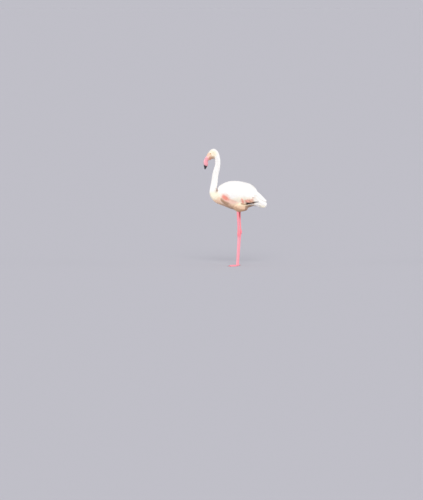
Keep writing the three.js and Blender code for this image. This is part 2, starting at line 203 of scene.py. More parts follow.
# Down a limb: share of the way, reach back and forward, half width.
THIGH = [
    (0, 58, 58, 30), (0.35, 68, 62, 31), (0.6, 68, 56, 28), (0.8, 60, 43, 23), (0.93, 41, 29, 16),
    (1, 20, 15, 11),
]
SHANK = [
    (0, 12.5, 12, 11), (0.12, 11.8, 11.4, 10.4), (0.3, 9.6, 9.4, 9), (0.5, 8.6, 8.4, 7.8),
    (0.85, 8.4, 8.2, 7.6), (1, 9.8, 9.2, 9.6),
]
ANKLE = [(0.3, 15, 12, 12.6), (0.66, 15.2, 12.2, 12.4)]
TARSUS = [
    (0, 9.8, 9, 9), (0.08, 8.4, 8, 7.6), (0.5, 7.6, 7.6, 6.6), (0.93, 7.6, 7.8, 7),
    (1, 8.2, 8, 7.8),
]
ANKLE_REACH = 25
# Toes: name, angle outwards from straight ahead, length, then sections as share, height, radius.
TOES = [("inner", -31, 70.6), ("middle", 2, 84), ("outer", 34, 78.1)]
TOE = [
    (0, 9, 7), (0.12, 5.6, 6.4), (0.29, 3.8, 4.6), (0.34, 4, 5), (0.42, 3.5, 4.3), (0.6, 3.2, 4),
    (0.65, 3.3, 4.3), (0.72, 2.9, 3.7), (0.94, 2.5, 3.3), (1, 2.4, 2.4),
]
HIND_TOE = [(0.12, 12.5, 4), (0.48, 10, 3.3), (0.8, 7.2, 2.8), (1, 5.8, 1.8)]
HIND_TOE_LENGTH = 25
WEB_TOP = 1.9
WEB_BOTTOM = 0.3
CLAW = 9


def unit(found):
    """Vectors brought to length 1, along the last axis."""
    return found / np.maximum(np.linalg.norm(found, axis=-1, keepdims=True), 1e-9)


def dots(a, b):
    return np.sum(a * b, axis=-1, keepdims=True)


def vectors(*parts):
    """Rows of numbers from their columns; a plain number fills its column."""
    return np.stack(np.broadcast_arrays(*(np.asarray(part, float) for part in parts)), axis=-1)


def columns(rows):
    return np.array(rows, float).T


def table(rows, column, at):
    """A column of a table of rows, read between the rows at places in their first column."""
    rows = np.array(rows, float)
    return np.interp(at, rows[:, 0], rows[:, column])


def smooth_step(low, high, value):
    share = np.clip((value - low) / (high - low), 0, 1)
    return share * share * (3 - 2 * share)


def through(control, place):
    """Points on a smooth line through control points, at places counted in them."""
    control = np.asarray(control, float)
    last = len(control) - 1
    ends = np.concatenate([2 * control[:1] - control[1:2], control, 2 * control[-1:] - control[-2:-1]])
    place = np.asarray(place, float)
    start = np.clip(np.floor(place).astype(int), 0, last - 1)
    t = np.clip(place - start, 0, 1)
    past = place - start - t
    shape = t.shape + (1,) * (control.ndim - 1)
    t, past = t.reshape(shape), past.reshape(shape)
    a, b, c, d = (ends[start + i] for i in range(4))
    line = b + 0.5 * t * (c - a + t * (2 * a - 5 * b + 4 * c - d + t * (3 * (b - c) + d - a)))
    return line + past * (c - b)


class Form:
    """A closed surface through sections. A place on it is along, counted in sections, and around,
    an angle from the upper side towards the bird's left."""

    def __init__(self, middle, up, down, side):
        self.control = np.stack([np.array(v, float) for v in (middle, up, down, side)], axis=1)
        self.last = len(self.control) - 1

    def at(self, along, around, inset=0.0):
        along, around, inset = np.broadcast_arrays(along, around, inset)
        found = through(self.control, along)
        middle, up, down, side = (found[..., i, :] for i in range(4))

        def shrunk(v):
            length = np.linalg.norm(v, axis=-1, keepdims=True)
            return v * np.maximum(1 - inset[..., None] / np.maximum(length, 1e-6), 0.04)

        lift = np.cos(around)[..., None]
        across = np.sin(around)[..., None]
        return middle + np.where(lift > 0, shrunk(up), shrunk(down)) * abs(lift) + shrunk(side) * across

    def outward(self, along, around):
        step = 0.02
        ahead = self.at(along + step, around) - self.at(along - step, around)
        aside = self.at(along, around + step) - self.at(along, around - step)
        normal = unit(np.cross(aside, ahead))
        middle = through(self.control, along)[..., 0, :]
        return normal * np.sign(dots(normal, self.at(along, around) - middle) + 1e-9)

    def rings(self, alongs, count, inset=0.0):
        around = turns(count)
        inset = np.broadcast_to(inset, (len(alongs),))
        return self.at(np.asarray(alongs)[:, None], around[None, :], inset[:, None])


def body_form():
    top_y, top_z, low_y, low_z, half = columns(BODY)
    upper, lower = vectors(0, top_y, top_z), vectors(0, low_y, low_z)
    middle = (upper + lower) / 2
    return Form(middle, upper - middle, lower - middle, vectors(half, 0, 0))


def upright_form(rows):
    y, z, up, down, half = columns(rows)
    return Form(vectors(0, y, z), vectors(0, 0, up), vectors(0, 0, -down), vectors(half, 0, 0))


def limb_form(middle, back, front, half):
    """A limb, whose upper side is its back."""
    return Form(middle, vectors(0, back, 0), vectors(0, -front, 0), vectors(half, 0, 0))


def toe_form(origin, angle, length, rows):
    """A toe or claw that runs level from the origin, from rows of share, height and radius."""
    rows = np.array(rows, float)
    turn = math.radians(angle)
    ahead = np.array([math.sin(turn), -math.cos(turn), 0])
    side = np.array([-ahead[1], ahead[0], 0])
    middle = origin + ahead * rows[:, :1] * length + np.array([0, 0, 1]) * rows[:, 1:2]
    up = np.array([0, 0, 1]) * rows[:, 2:3]
    return Form(middle, up, -up, side * rows[:, 2:3])


def bill_form(is_upper):
    y, z, lower, upper, half = columns(BILL)
    line = vectors(0, y, z)
    places = np.arange(len(line))
    ahead = unit(through(line, places + 0.05) - through(line, places - 0.05))
    outward = np.cross(ahead, [1, 0, 0])
    edge, seam = 0.4 * outward, BILL_SEAM * outward
    if is_upper:
        return Form(line + seam, outward * upper[:, None], -edge, vectors(half * UPPER_BILL_WIDTH, 0, 0))
    return Form(line - seam, edge, -outward * lower[:, None], vectors(half, 0, 0))


BODY_FORM = body_form()
MANTLE_FORM = upright_form(MANTLE)

# ---------------------------------------------------------------- meshes


def bands(layers, count, joined=False):
    """Faces between rings of corners; joined leads the last ring on to the first."""
    faces = []
    for i in range(layers if joined else layers - 1):
        here, after = i * count, (i + 1) % layers * count
        for j in range(count):
            k = (j + 1) % count
            faces.append((here + j, here + k, after + k, after + j))
    return faces


def shell(rings):
    """Corners and faces of a surface through rings of points, closed over both ends."""
    layers, count = rings.shape[:2]
    points = np.concatenate([rings.reshape(-1, 3), rings[:1].mean(axis=1), rings[-1:].mean(axis=1)])
    faces = bands(layers, count)
    last = (layers - 1) * count
    for j in range(count):
        after = (j + 1) % count
        faces.append((len(points) - 2, after, j))
        faces.append((len(points) - 1, last + j, last + after))
    return points, faces


def merged(parts):
    """Corners and faces of several parts as those of one."""
    corners, polygons, base = [], [], 0
    for points, faces in parts:
        corners.append(points)
        polygons += [tuple(base + i for i in face) for face in faces]
        base += len(points)
    return np.concatenate(corners), polygons


def facing_out(points, faces):
    """The faces, turned over if they enclose their volume from the wrong side."""
    points = np.asarray(points)
    centre = points.mean(axis=0)
    volume = 0.0
    for face in faces:
        a, b, c = (points[i] - centre for i in face[:3])
        volume += np.dot(a, np.cross(b, c))
        if len(face) == 4:
            d = points[face[3]] - centre
            volume += np.dot(a, np.cross(c, d))
    return faces if volume > 0 else [face[::-1] for face in faces]


def placed(points):
    """Points of the tables in the part's own frame, in metres."""
    return (np.asarray(points, float) + [0, BACK, 0]) * MM


def unplaced(points):
    return np.asarray(points, float) / MM - [0, BACK, 0]


def linked(name, data):
    """A new object in the scene."""
    made = bpy.data.objects.new(name, data)
    bpy.context.scene.collection.objects.link(made)
    return made


def make_object(name, parts, material):
    """A smooth object from one or several (points, faces) pairs in millimetres."""
    points, faces = merged([(points, facing_out(points, faces)) for points, faces in parts])
    mesh = bpy.data.meshes.new(name)
    mesh.from_pydata(placed(points).tolist(), [], faces)
    mesh.validate()
    mesh.shade_smooth()
    mesh.materials.append(material)
    return linked(name, mesh)


def corners_of(mesh):
    found = np.empty(len(mesh.vertices) * 3, np.float32)
    mesh.vertices.foreach_get("co", found)
    return found.reshape(-1, 3).astype(float)


def paint(mesh, colours):
    """Writes linear colours, one for each corner point, as the attribute that materials read."""
    layer = mesh.color_attributes.new("tint", "FLOAT_COLOR", "POINT")
    values = np.concatenate([colours, np.ones((len(colours), 1))], axis=1)
    layer.data.foreach_set("color", values.astype(np.float32).ravel())


def store(mesh, name, values):
    """Writes numbers or vectors, one for each corner point, as an attribute."""
    values = np.ascontiguousarray(values, dtype=np.float32)
    kind, field = ("FLOAT_VECTOR", "vector") if values.ndim > 1 else ("FLOAT", "value")
    mesh.attributes.new(name, kind, "POINT").data.foreach_set(field, values.ravel())


def read_attribute(mesh, name, width=1):
    data = mesh.attributes[name].data
    found = np.empty(len(data) * width, np.float32)
    data.foreach_get("vector" if width == 3 else "value", found)
    return found.reshape(-1, width) if width > 1 else found


def finished(made, replaced=()):
    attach(made, "root")
    if replaced:
        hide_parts(*replaced)


# ---------------------------------------------------------------- settings


def colour(name, description, default):
    return FloatVectorProperty(
        name=name, description=description, default=default, subtype="COLOR", size=3, min=0.0, max=1.0
    )


def number(name, description, default, **kind):
    return FloatProperty(name=name, description=description, default=default, **kind)


class FlamingoPlumage(bpy.types.PropertyGroup):
    length: number("Feather length", "Scale of every feather's length", 1.0, min=0.5, max=1.5)
    width: number("Feather width", "Scale of every feather's width", 1.0, min=0.5, max=1.5)
    ruffle: number(
        "Ruffle", "How far feather ends stand off or sink in by chance, in half widths", 0.05, min=0.0
    )
    white: colour("White", "Neck, back and scapulars", (0.91, 0.89, 0.84))
    cream: colour("Cream", "Lower neck, thighs and tail", (0.94, 0.83, 0.58))
    blush: colour("Blush", "Breast, belly and face", (0.92, 0.62, 0.42))
    pink: colour("Pink", "Lower edge of the folded wing", (0.9, 0.53, 0.41))
    coral: colour("Coral", "Coverts at the bend of the wing", (0.87, 0.25, 0.18))
    # Painted shade: a dark brown that stands for the shade under the wing's edge, the throat, the thighs
    # and the tail.
    painted_shade: colour("Dusk", "Sheltered plumage under the wing's edge", (0.45, 0.26, 0.15))
    black: colour("Black", "Outer flight feathers", (0.03, 0.015, 0.01))


class FlamingoBareParts(bpy.types.PropertyGroup):
    leg: colour("Leg", "Tarsus and toes", (0.93, 0.34, 0.4))
    joint: colour("Joint", "Ankles, knuckles and shanks", (0.93, 0.24, 0.28))
    face: colour("Face", "Bare skin before the eye", (0.88, 0.55, 0.47))
    lid: colour("Eyelid", "Rim of the eye", (0.78, 0.3, 0.27))
    bill: colour("Bill", "Bill as far as its bend", (0.94, 0.47, 0.52))
    bill_tip: colour("Bill tip", "Bill beyond its bend", (0.012, 0.01, 0.011))
    iris: colour("Iris", "Iris of the eye", (0.82, 0.62, 0.16))
    claw: colour("Claw", "Claws", (0.03, 0.02, 0.022))


class FlamingoStage(bpy.types.PropertyGroup):
    surround: colour("Surround", "Light from all round", (0.525, 0.52, 0.575))
    key: number("Key light", "Strength of the broad light from above", 1.5, min=0.0)
    fill: number("Fill lights", "Strength of the lights from ahead and behind", 1.35, min=0.0)
    distance: number("Camera distance", "From camera to bird", 40.0, unit="LENGTH")
    height: number("Picture height", "What the picture spans at the bird", 5.0, unit="LENGTH")


def settings(name):
    return getattr(bpy.context.scene, name)


# ---------------------------------------------------------------- markings and painted shade

# Patches of colour on the plumage, seen from the side: middle y, z; half length and half width;
# tilt of the length in degrees; which colour; how strong. Some are painted shade, as marked below.
PATCHES = [
    (40, 656, 170, 40, 2, "cream", 0.55),
    (-245, 690, 80, 62, 0, "cream", 0.75),
    (-208, 634, 64, 27, -32, "blush", 0.95),
    (-115, 592, 125, 32, -18, "blush", 0.85),
    (-84, 652, 92, 26, -16, "pink", 0.75),
    (-184, 662, 32, 36, 0, "blush", 0.75),
    # Painted shade, dark brown, under the wing's lower edge and on the flank below it.
    (-152, 655, 38, 18, -58, "painted_shade", 0.8),
    (-124, 635, 54, 20, -30, "painted_shade", 0.85),
    (-82, 613, 62, 17, -14, "painted_shade", 0.75),
    (-152, 610, 70, 14, -20, "painted_shade", 0.45),
    (-128, 690, 54, 36, -36, "pink", 0.75),
    (-131, 690, 42, 20, -36, "coral", 0.85),
    (22, 596, 105, 42, 0, "cream", 0.95),
    (36, 574, 90, 32, 0, "blush", 0.8),
    (-52, 606, 60, 22, -12, "blush", 0.7),
    # Painted shade, dark brown and faint black, along the belly's underside, at the bottom of the thighs
    # and under the tail.
    (-60, 588, 96, 19, -14, "painted_shade", 0.7),
    (-62, 574, 60, 12, -14, "black", 0.25),
    (26, 584, 90, 30, 0, "painted_shade", 0.28),
    (40, 552, 70, 24, 0, "painted_shade", 0.9),
    (116, 598, 50, 18, 6, "painted_shade", 0.9),
    (118, 596, 50, 12, 0, "black", 0.25),
    (104, 656, 92, 18, 4, "pink", 0.7),
    (38, 652, 27, 12, -72, "coral", 0.75),
    (106, 644, 26, 9, -8, "coral", 0.6),
    (138, 654, 22, 9, -65, "coral", 0.55),
    (156, 650, 30, 11, 0, "pink", 0.6),
    # Painted shade, dark brown, round the black flight feathers.
    (50, 622, 36, 12, -10, "painted_shade", 0.85),
    (114, 638, 52, 9, 6, "painted_shade", 0.85),
    (240, 602, 60, 20, 0, "cream", 0.5),
    # Painted shade, in blush, in the crease between neck and shoulder.
    (-212, 762, 26, 12, 90, "blush", 0.5),
    (-256, 1118, 44, 40, 0, "cream", 0.8),
    (-296, 1094, 60, 34, -53, "blush", 0.95),
    # Painted shade, dark brown, under the throat.
    (-264, 1078, 36, 20, 8, "painted_shade", 0.7),
    (-290, 1072, 24, 13, 12, "coral", 0.4),
]


def wobble(points):
    """A slow, even unevenness between -1 and 1 at points in millimetres."""
    x, y, z = points.T
    waves = np.sin(0.061 * y + 0.047 * z + 0.9) + np.sin(0.083 * z - 0.052 * x - 0.4 * np.sin(0.05 * y))
    return (waves + np.sin(0.19 * y - 0.13 * z + 0.11 * x)) / 3


def blended(found, towards, share):
    """Colours turned towards another one, each by its share."""
    return found + (np.array(towards) - found) * share[:, None]


def plumage_colours(points, stray=0.0):
    """Linear colours of the plumage, with its painted shade, at points in millimetres, for feathers and
    skin alike. stray moves the edges of the patches, in millimetres."""
    chosen = settings("flamingo_plumage")
    found = np.tile(np.array(chosen.white), (len(points), 1))
    shift = 5 * wobble(points) + stray
    for y, z, length, width, tilt, name, strength in PATCHES:
        ahead, up = points[:, 1] + shift - y, points[:, 2] - shift - z
        turn = math.radians(tilt)
        on = (ahead * math.cos(turn) + up * math.sin(turn)) / length
        off = (up * math.cos(turn) - ahead * math.sin(turn)) / width
        away = on**2 + off**2
        share = strength * (1 - smooth_step(0.25, 1.5, away))
        found = blended(found, getattr(chosen, name), share)
    return found


def bare_colours(points):
    """Linear colours of the bare legs at points in millimetres."""
    chosen = settings("flamingo_bare_parts")
    z = points[:, 2]
    near_ankle = np.exp(-(((z - ANKLE_HEIGHT - 8) / 34) ** 2))
    shank = smooth_step(ANKLE_HEIGHT, ANKLE_HEIGHT + 60, z) * 0.7
    toes = (1 - smooth_step(0, 24, z)) * 0.5
    share = np.clip(near_ankle + shank + toes + 0.1 * wobble(points * 3), 0, 1)[:, None]
    found = np.array(chosen.leg) * (1 - share) + np.array(chosen.joint) * share
    # The shanks' inner sides, between the thighs, are painted a darker red as shade.
    outward = smooth_step(HIP_SPREAD - 6, HIP_SPREAD + 5, abs(points[:, 0]))
    inner = (1 - outward) * smooth_step(440, 520, z)
    return found * (1 - inner[:, None] * [0.3, 0.6, 0.6])


# ---------------------------------------------------------------- materials


class Wiring:
    """Adds and joins nodes of one tree."""

    def __init__(self, tree):
        self.tree = tree

    def feed(self, socket, value):
        if isinstance(value, bpy.types.NodeSocket):
            self.tree.links.new(value, socket)
        elif value is not None:
            socket.default_value = value

    def node(self, kind, *inputs, into=None, **choices):
        """A new node, its choices made and its sockets fed in order, or by name through into."""
        made = self.tree.nodes.new(kind)
        for name, value in choices.items():
            setattr(made, name, value)
        for socket, value in zip([s for s in made.inputs if s.enabled], inputs):
            self.feed(socket, value)
        for name, value in (into or {}).items():
            self.feed(made.inputs[name], value)
        return made

    def result(self, kind, *inputs, **choices):
        return next(s for s in self.node(kind, *inputs, **choices).outputs if s.enabled)

    def maths(self, operation, *inputs):
        made = self.node("ShaderNodeMath", operation=operation)
        for socket, value in zip(made.inputs, inputs):
            self.feed(socket, value)
        return made.outputs[0]

    def times(self, *factors):
        found = factors[0]
        for factor in factors[1:]:
            found = self.maths("MULTIPLY", found, factor)
        return found

    def scaled(self, vector, factor):
        into = {"Vector": vector, "Scale": factor}
        return self.node("ShaderNodeVectorMath", into=into, operation="SCALE").outputs["Vector"]

    def total(self, *parts):
        found = parts[0]
        for part in parts[1:]:
            found = self.result("ShaderNodeVectorMath", found, part, operation="ADD")
        return found

    def read(self, name, kind="FLOAT"):
        """A stored attribute, in a Geometry Nodes tree."""
        made = self.node("GeometryNodeInputNamedAttribute", into={"Name": name}, data_type=kind)
        return made.outputs["Attribute"]

    def stored(self, geometry, name, value, kind, domain):
        into = {"Geometry": geometry, "Name": name, "Value": value}
        made = self.node("GeometryNodeStoreNamedAttribute", into=into, data_type=kind, domain=domain)
        return made.outputs["Geometry"]

    def painted(self, name, output="Fac"):
        """A stored attribute, in a material."""
        return self.node("ShaderNodeAttribute", attribute_name=name).outputs[output]

    def coordinates(self, scale):
        """The object's own coordinates, drawn out along its axes."""
        into = {"Vector": self.node("ShaderNodeTexCoord").outputs["Object"], "Scale": scale}
        return self.node("ShaderNodeMapping", into=into).outputs["Vector"]

    def bump(self, shader, height, strength, depth):
        into = {"Strength": strength, "Distance": depth, "Height": height}
        self.feed(shader.inputs["Normal"], self.node("ShaderNodeBump", into=into).outputs["Normal"])


def new_material(name, **sockets):
    """A material, with values for its shader's own sockets."""
    made = bpy.data.materials.new(name)
    made.use_nodes = True
    shader = next(n for n in made.node_tree.nodes if n.type == "BSDF_PRINCIPLED")
    for socket, value in sockets.items():
        shader.inputs[socket.replace("_", " ")].default_value = value
    return made, Wiring(made.node_tree), shader


def tinted_material(name, roughness, **sockets):
    """A material whose colour is the piece's own tint attribute."""
    made, wiring, shader = new_material(name, Roughness=roughness, **sockets)
    wiring.feed(shader.inputs["Base Color"], wiring.painted("tint", "Color"))
    return made, wiring, shader


def feather_material(name, barbs, depth, sheen=0.25):
    """Tinted, with barbs that slant off the shaft as fine ridges, counted along the feather."""
    made, wiring, shader = tinted_material(name, 0.78, Sheen_Weight=sheen, Sheen_Roughness=0.5)
    slant = wiring.maths("ABSOLUTE", wiring.painted("across"))
    sweep = wiring.maths("MULTIPLY_ADD", slant, -0.12, wiring.painted("along"))
    ridges = wiring.maths("SINE", wiring.times(sweep, barbs * 2 * math.pi))
    wiring.bump(shader, ridges, 0.2, depth)
    return made


def skin_material():
    """Skin with small plates, as on the legs."""
    made, wiring, shader = tinted_material(
        "flamingo_skin", 0.5, Subsurface_Weight=0.08, Subsurface_Radius=(0.004, 0.002, 0.001)
    )
    into = {"Vector": wiring.coordinates((0.6, 0.6, 1.3)), "Scale": 330}
    plates = wiring.node("ShaderNodeTexVoronoi", into=into, feature="DISTANCE_TO_EDGE")
    wiring.bump(shader, plates.outputs["Distance"], wiring.painted("plated"), 0.0012)
    return made


def horn_material(name, roughness):
    """Smooth horn with faint lines of growth."""
    made, wiring, shader = tinted_material(name, roughness, Coat_Weight=0.15, Coat_Roughness=0.3)
    into = {"Vector": wiring.coordinates((260, 60, 60)), "Scale": 1, "Detail": 3}
    wiring.bump(shader, wiring.node("ShaderNodeTexNoise", into=into).outputs["Fac"], 0.25, 0.0006)
    return made


# ---------------------------------------------------------------- feathers


def vane(name, rows, ribs):
    """A feather's outline as a closed thin mesh, with its places along, across and through it.
    rows are share of the length and half width; ribs are places across, with their thickness."""
    rows = np.array(rows, float)
    loop = np.array([*ribs, *((place, -rise) for place, rise in reversed(ribs[1:-1]))])
    count = len(loop)
    inner = rows[1:-1]
    along = np.concatenate([np.repeat(inner[:, 0], count), rows[[0, -1], 0]])
    across = np.concatenate([(inner[:, 1:2] * loop[None, :, 0]).ravel(), [0, 0]])
    rise = np.concatenate([np.tile(loop[:, 1], len(inner)), [0, 0]])
    faces = []
    root, tip = len(along) - 2, len(along) - 1
    last = (len(inner) - 1) * count
    for j in range(count):
        after = (j + 1) % count
        faces.append((root, j, after))
        faces.append((tip, last + after, last + j))
        for i in range(len(inner) - 1):
            a, b = i * count + j, i * count + after
            faces.append((a, a + count, b + count, b))
    points = vectors(across, along * 3, rise * 0.1)
    mesh = bpy.data.meshes.new(name)
    mesh.from_pydata(points.tolist(), [], facing_out(points, faces))
    mesh.shade_smooth()
    for key, values in (("along", along), ("across", across), ("rise", rise)):
        store(mesh, key, values)
    # Its rim is sharp, so that the upper face is shaded as one.
    edge = mesh.attributes.new("sharp_edge", "BOOLEAN", "EDGE")
    rims = {0, len(ribs) - 1}
    for i, e in enumerate(mesh.edges):
        edge.data[i].value = all(v >= root or v % count in rims for v in e.vertices)
    return bpy.data.objects.new(name, mesh)


def vanes():
    """The outlines that the plumage is made of."""
    flat = [(-1, 0), (0, 1), (1, 0)]
    ribbed = [(-1, 0), (-0.5, 0.35), (-0.07, 0.45), (0, 1), (0.07, 0.45), (0.5, 0.35), (1, 0)]
    steps = np.array([0, 0.03, 0.08, 0.16, 0.28, 0.42, 0.56, 0.68, 0.78, 0.86, 0.92, 0.965, 0.99, 1])
    long_width = np.minimum(1, (steps / 0.3 + 0.12) ** 0.6) * np.sqrt(np.maximum(1 - steps**7, 0))
    return {
        "down": vane("vane_down", [(0, 0), (0.45, 1), (1, 0)], flat),
        "soft": vane("vane_soft", [(0, 0), (0.32, 0.85), (0.74, 0.8), (1, 0)], flat),
        "contour": vane(
            "vane_contour", [(0, 0), (0.15, 0.6), (0.45, 1), (0.74, 0.88), (0.92, 0.5), (1, 0)], flat
        ),
        "long": vane("vane_long", list(zip(steps, long_width)), ribbed),
    }


def plumage_tree():
    """Sets a vane on each root and bends it to the lie that the root carries."""
    tree = bpy.data.node_groups.new("Plumage", "GeometryNodeTree")
    kinds = {"Roots": "Geometry", "Vane": "Object", "Length": "Float", "Width": "Float"}
    kinds.update(Ruffle="Float", Seed="Int", Material="Material")
    for name, kind in kinds.items():
        tree.interface.new_socket(name, in_out="INPUT", socket_type=f"NodeSocket{kind}")
    tree.interface.new_socket("Plumage", in_out="OUTPUT", socket_type="NodeSocketGeometry")
    wiring = Wiring(tree)
    given = wiring.node("NodeGroupInput").outputs
    chance = wiring.result("FunctionNodeRandomValue", -1.0, 1.0, None, given["Seed"], data_type="FLOAT")
    roots = wiring.stored(given["Roots"], "chance", chance, "FLOAT", "POINT")
    source = wiring.node("GeometryNodeObjectInfo", into={"Object": given["Vane"]})
    into = {"Points": roots, "Instance": source.outputs["Geometry"]}
    set_on = wiring.node("GeometryNodeInstanceOnPoints", into=into)
    made = wiring.result("GeometryNodeRealizeInstances", set_on.outputs["Instances"])

    along, across, rise, thick, cup, patch = map(
        wiring.read, ("along", "across", "rise", "thick", "cup", "patch")
    )
    root, bow, reach, side, out, spot = (
        wiring.read(name, "FLOAT_VECTOR") for name in ("root", "bow", "reach", "side", "out", "spot")
    )
    square = wiring.times(along, along)
    bend = wiring.times(wiring.maths("SUBTRACT", along, square), 2.0)
    width = wiring.times(wiring.read("girth"), given["Width"])
    ruffle = wiring.times(wiring.read("chance"), given["Ruffle"], width)
    sink = wiring.times(cup, wiring.times(across, across))
    height = wiring.maths("SUBTRACT", wiring.times(rise, thick), sink)
    height = wiring.maths("ADD", height, wiring.times(ruffle, square))
    lie = wiring.total(wiring.scaled(bow, bend), wiring.scaled(reach, square))
    place = wiring.total(
        root,
        wiring.scaled(lie, given["Length"]),
        wiring.scaled(side, wiring.times(across, width)),
        wiring.scaled(out, height),
    )
    bent = wiring.node("GeometryNodeSetPosition", into={"Geometry": made, "Position": place})
    spread = wiring.result(
        "ShaderNodeCombineXYZ",
        wiring.times(across, 0.5, patch),
        wiring.times(wiring.maths("SUBTRACT", along, 0.5), patch),
    )
    unwrap = wiring.total(spot, spread)
    unwrapped = wiring.stored(bent.outputs["Geometry"], "OFBake", unwrap, "FLOAT2", "CORNER")
    into = {"Geometry": unwrapped, "Material": given["Material"]}
    dressed = wiring.node("GeometryNodeSetMaterial", into=into)
    wiring.node("NodeGroupOutput", into={"Plumage": dressed.outputs["Geometry"]})
    return tree


def lay(root, middle, tip, out, half_width, thick, spot, patch=0.003, cup=0.0):
    """What the plumage tree needs to know of feathers that run from root through middle to tip:
    their directions and sizes, their spot on the unwrap and the size of their patch there."""
    control = 2 * middle - (root + tip) / 2
    ahead = unit(tip - root)
    out = unit(out - dots(out, ahead) * ahead)
    made = {"root": root, "bow": control - root, "reach": tip - root, "side": np.cross(ahead, out)}
    made.update(out=out, spot=vectors(*spot, 0))
    for key, value in (("girth", half_width), ("thick", thick), ("cup", cup), ("patch", patch)):
        made[key] = np.broadcast_to(np.asarray(value, float), (len(root),))
    return made


LENGTHS = ("root", "bow", "reach", "girth", "thick", "cup")
FEATHER_DATA = (*LENGTHS, "side", "out", "spot", "patch", "rise")


def grow(name, vane_object, feathers, material, seed):
    """Makes the feathers as one plain mesh, with the places of each corner on its feather."""
    chosen = settings("flamingo_plumage")
    feathers = {key: np.concatenate([f[key] for f in feathers]) for key in feathers[0]}
    feathers["root"] = feathers["root"] + [0, BACK, 0]
    carrier_mesh = bpy.data.meshes.new(name)
    carrier_mesh.from_pydata((feathers["root"] * MM).tolist(), [], [])
    for key, values in feathers.items():
        store(carrier_mesh, key, values * (MM if key in LENGTHS else 1.0))
    carrier = linked(name, carrier_mesh)
    scene = bpy.context.scene.collection.objects
    scene.link(vane_object)
    tree = bpy.data.node_groups.get("Plumage") or plumage_tree()
    modifier = carrier.modifiers.new("Plumage", "NODES")
    modifier.node_group = tree
    inputs = {"Vane": vane_object, "Seed": seed, "Material": material}
    inputs.update(Length=chosen.length, Width=chosen.width, Ruffle=chosen.ruffle)
    for item in tree.interface.items_tree:
        if item.item_type == "SOCKET" and item.name in inputs:
            modifier[item.identifier] = inputs[item.name]
    evaluated = carrier.evaluated_get(bpy.context.evaluated_depsgraph_get())
    mesh = bpy.data.meshes.new_from_object(evaluated)
    carrier.modifiers.remove(modifier)
    scene.unlink(vane_object)
    bpy.data.objects.remove(carrier)
    mesh.name = name
    return mesh


def plumage_piece(name, vane_object, feathers, material, seed, slot="plumage", replaced=()):
    """A finished piece of feathers that carry the markings of the plumage, or are black."""
    mesh = grow(name, vane_object, feathers, material, seed)
    root, reach, bow = (read_attribute(mesh, key, 3) for key in ("root", "reach", "bow"))
    along, chance = read_attribute(mesh, "along"), read_attribute(mesh, "chance")
    heart = root + 0.4 * bow + 0.45 * reach
    if slot == "flight_feathers":
        tint = np.array(settings("flamingo_plumage").black) * (1 + 0.3 * chance[:, None])
    else:
        tint = plumage_colours(unplaced(0.35 * corners_of(mesh) + 0.65 * heart), 3.5 * chance)
        # The root is painted darker than the tip, as shade under the feathers that lie over it, with a
        # little random difference between feathers.
        depth = 1 - 0.08 * (1 - smooth_step(0.2, 0.8, along)) + 0.03 * chance
        tint = np.clip(tint * depth[:, None], 0, 1)
    for key in [a.name for a in mesh.attributes if a.name in FEATHER_DATA]:
        mesh.attributes.remove(mesh.attributes[key])
    paint(mesh, tint)
    finished(linked(name, mesh), replaced)


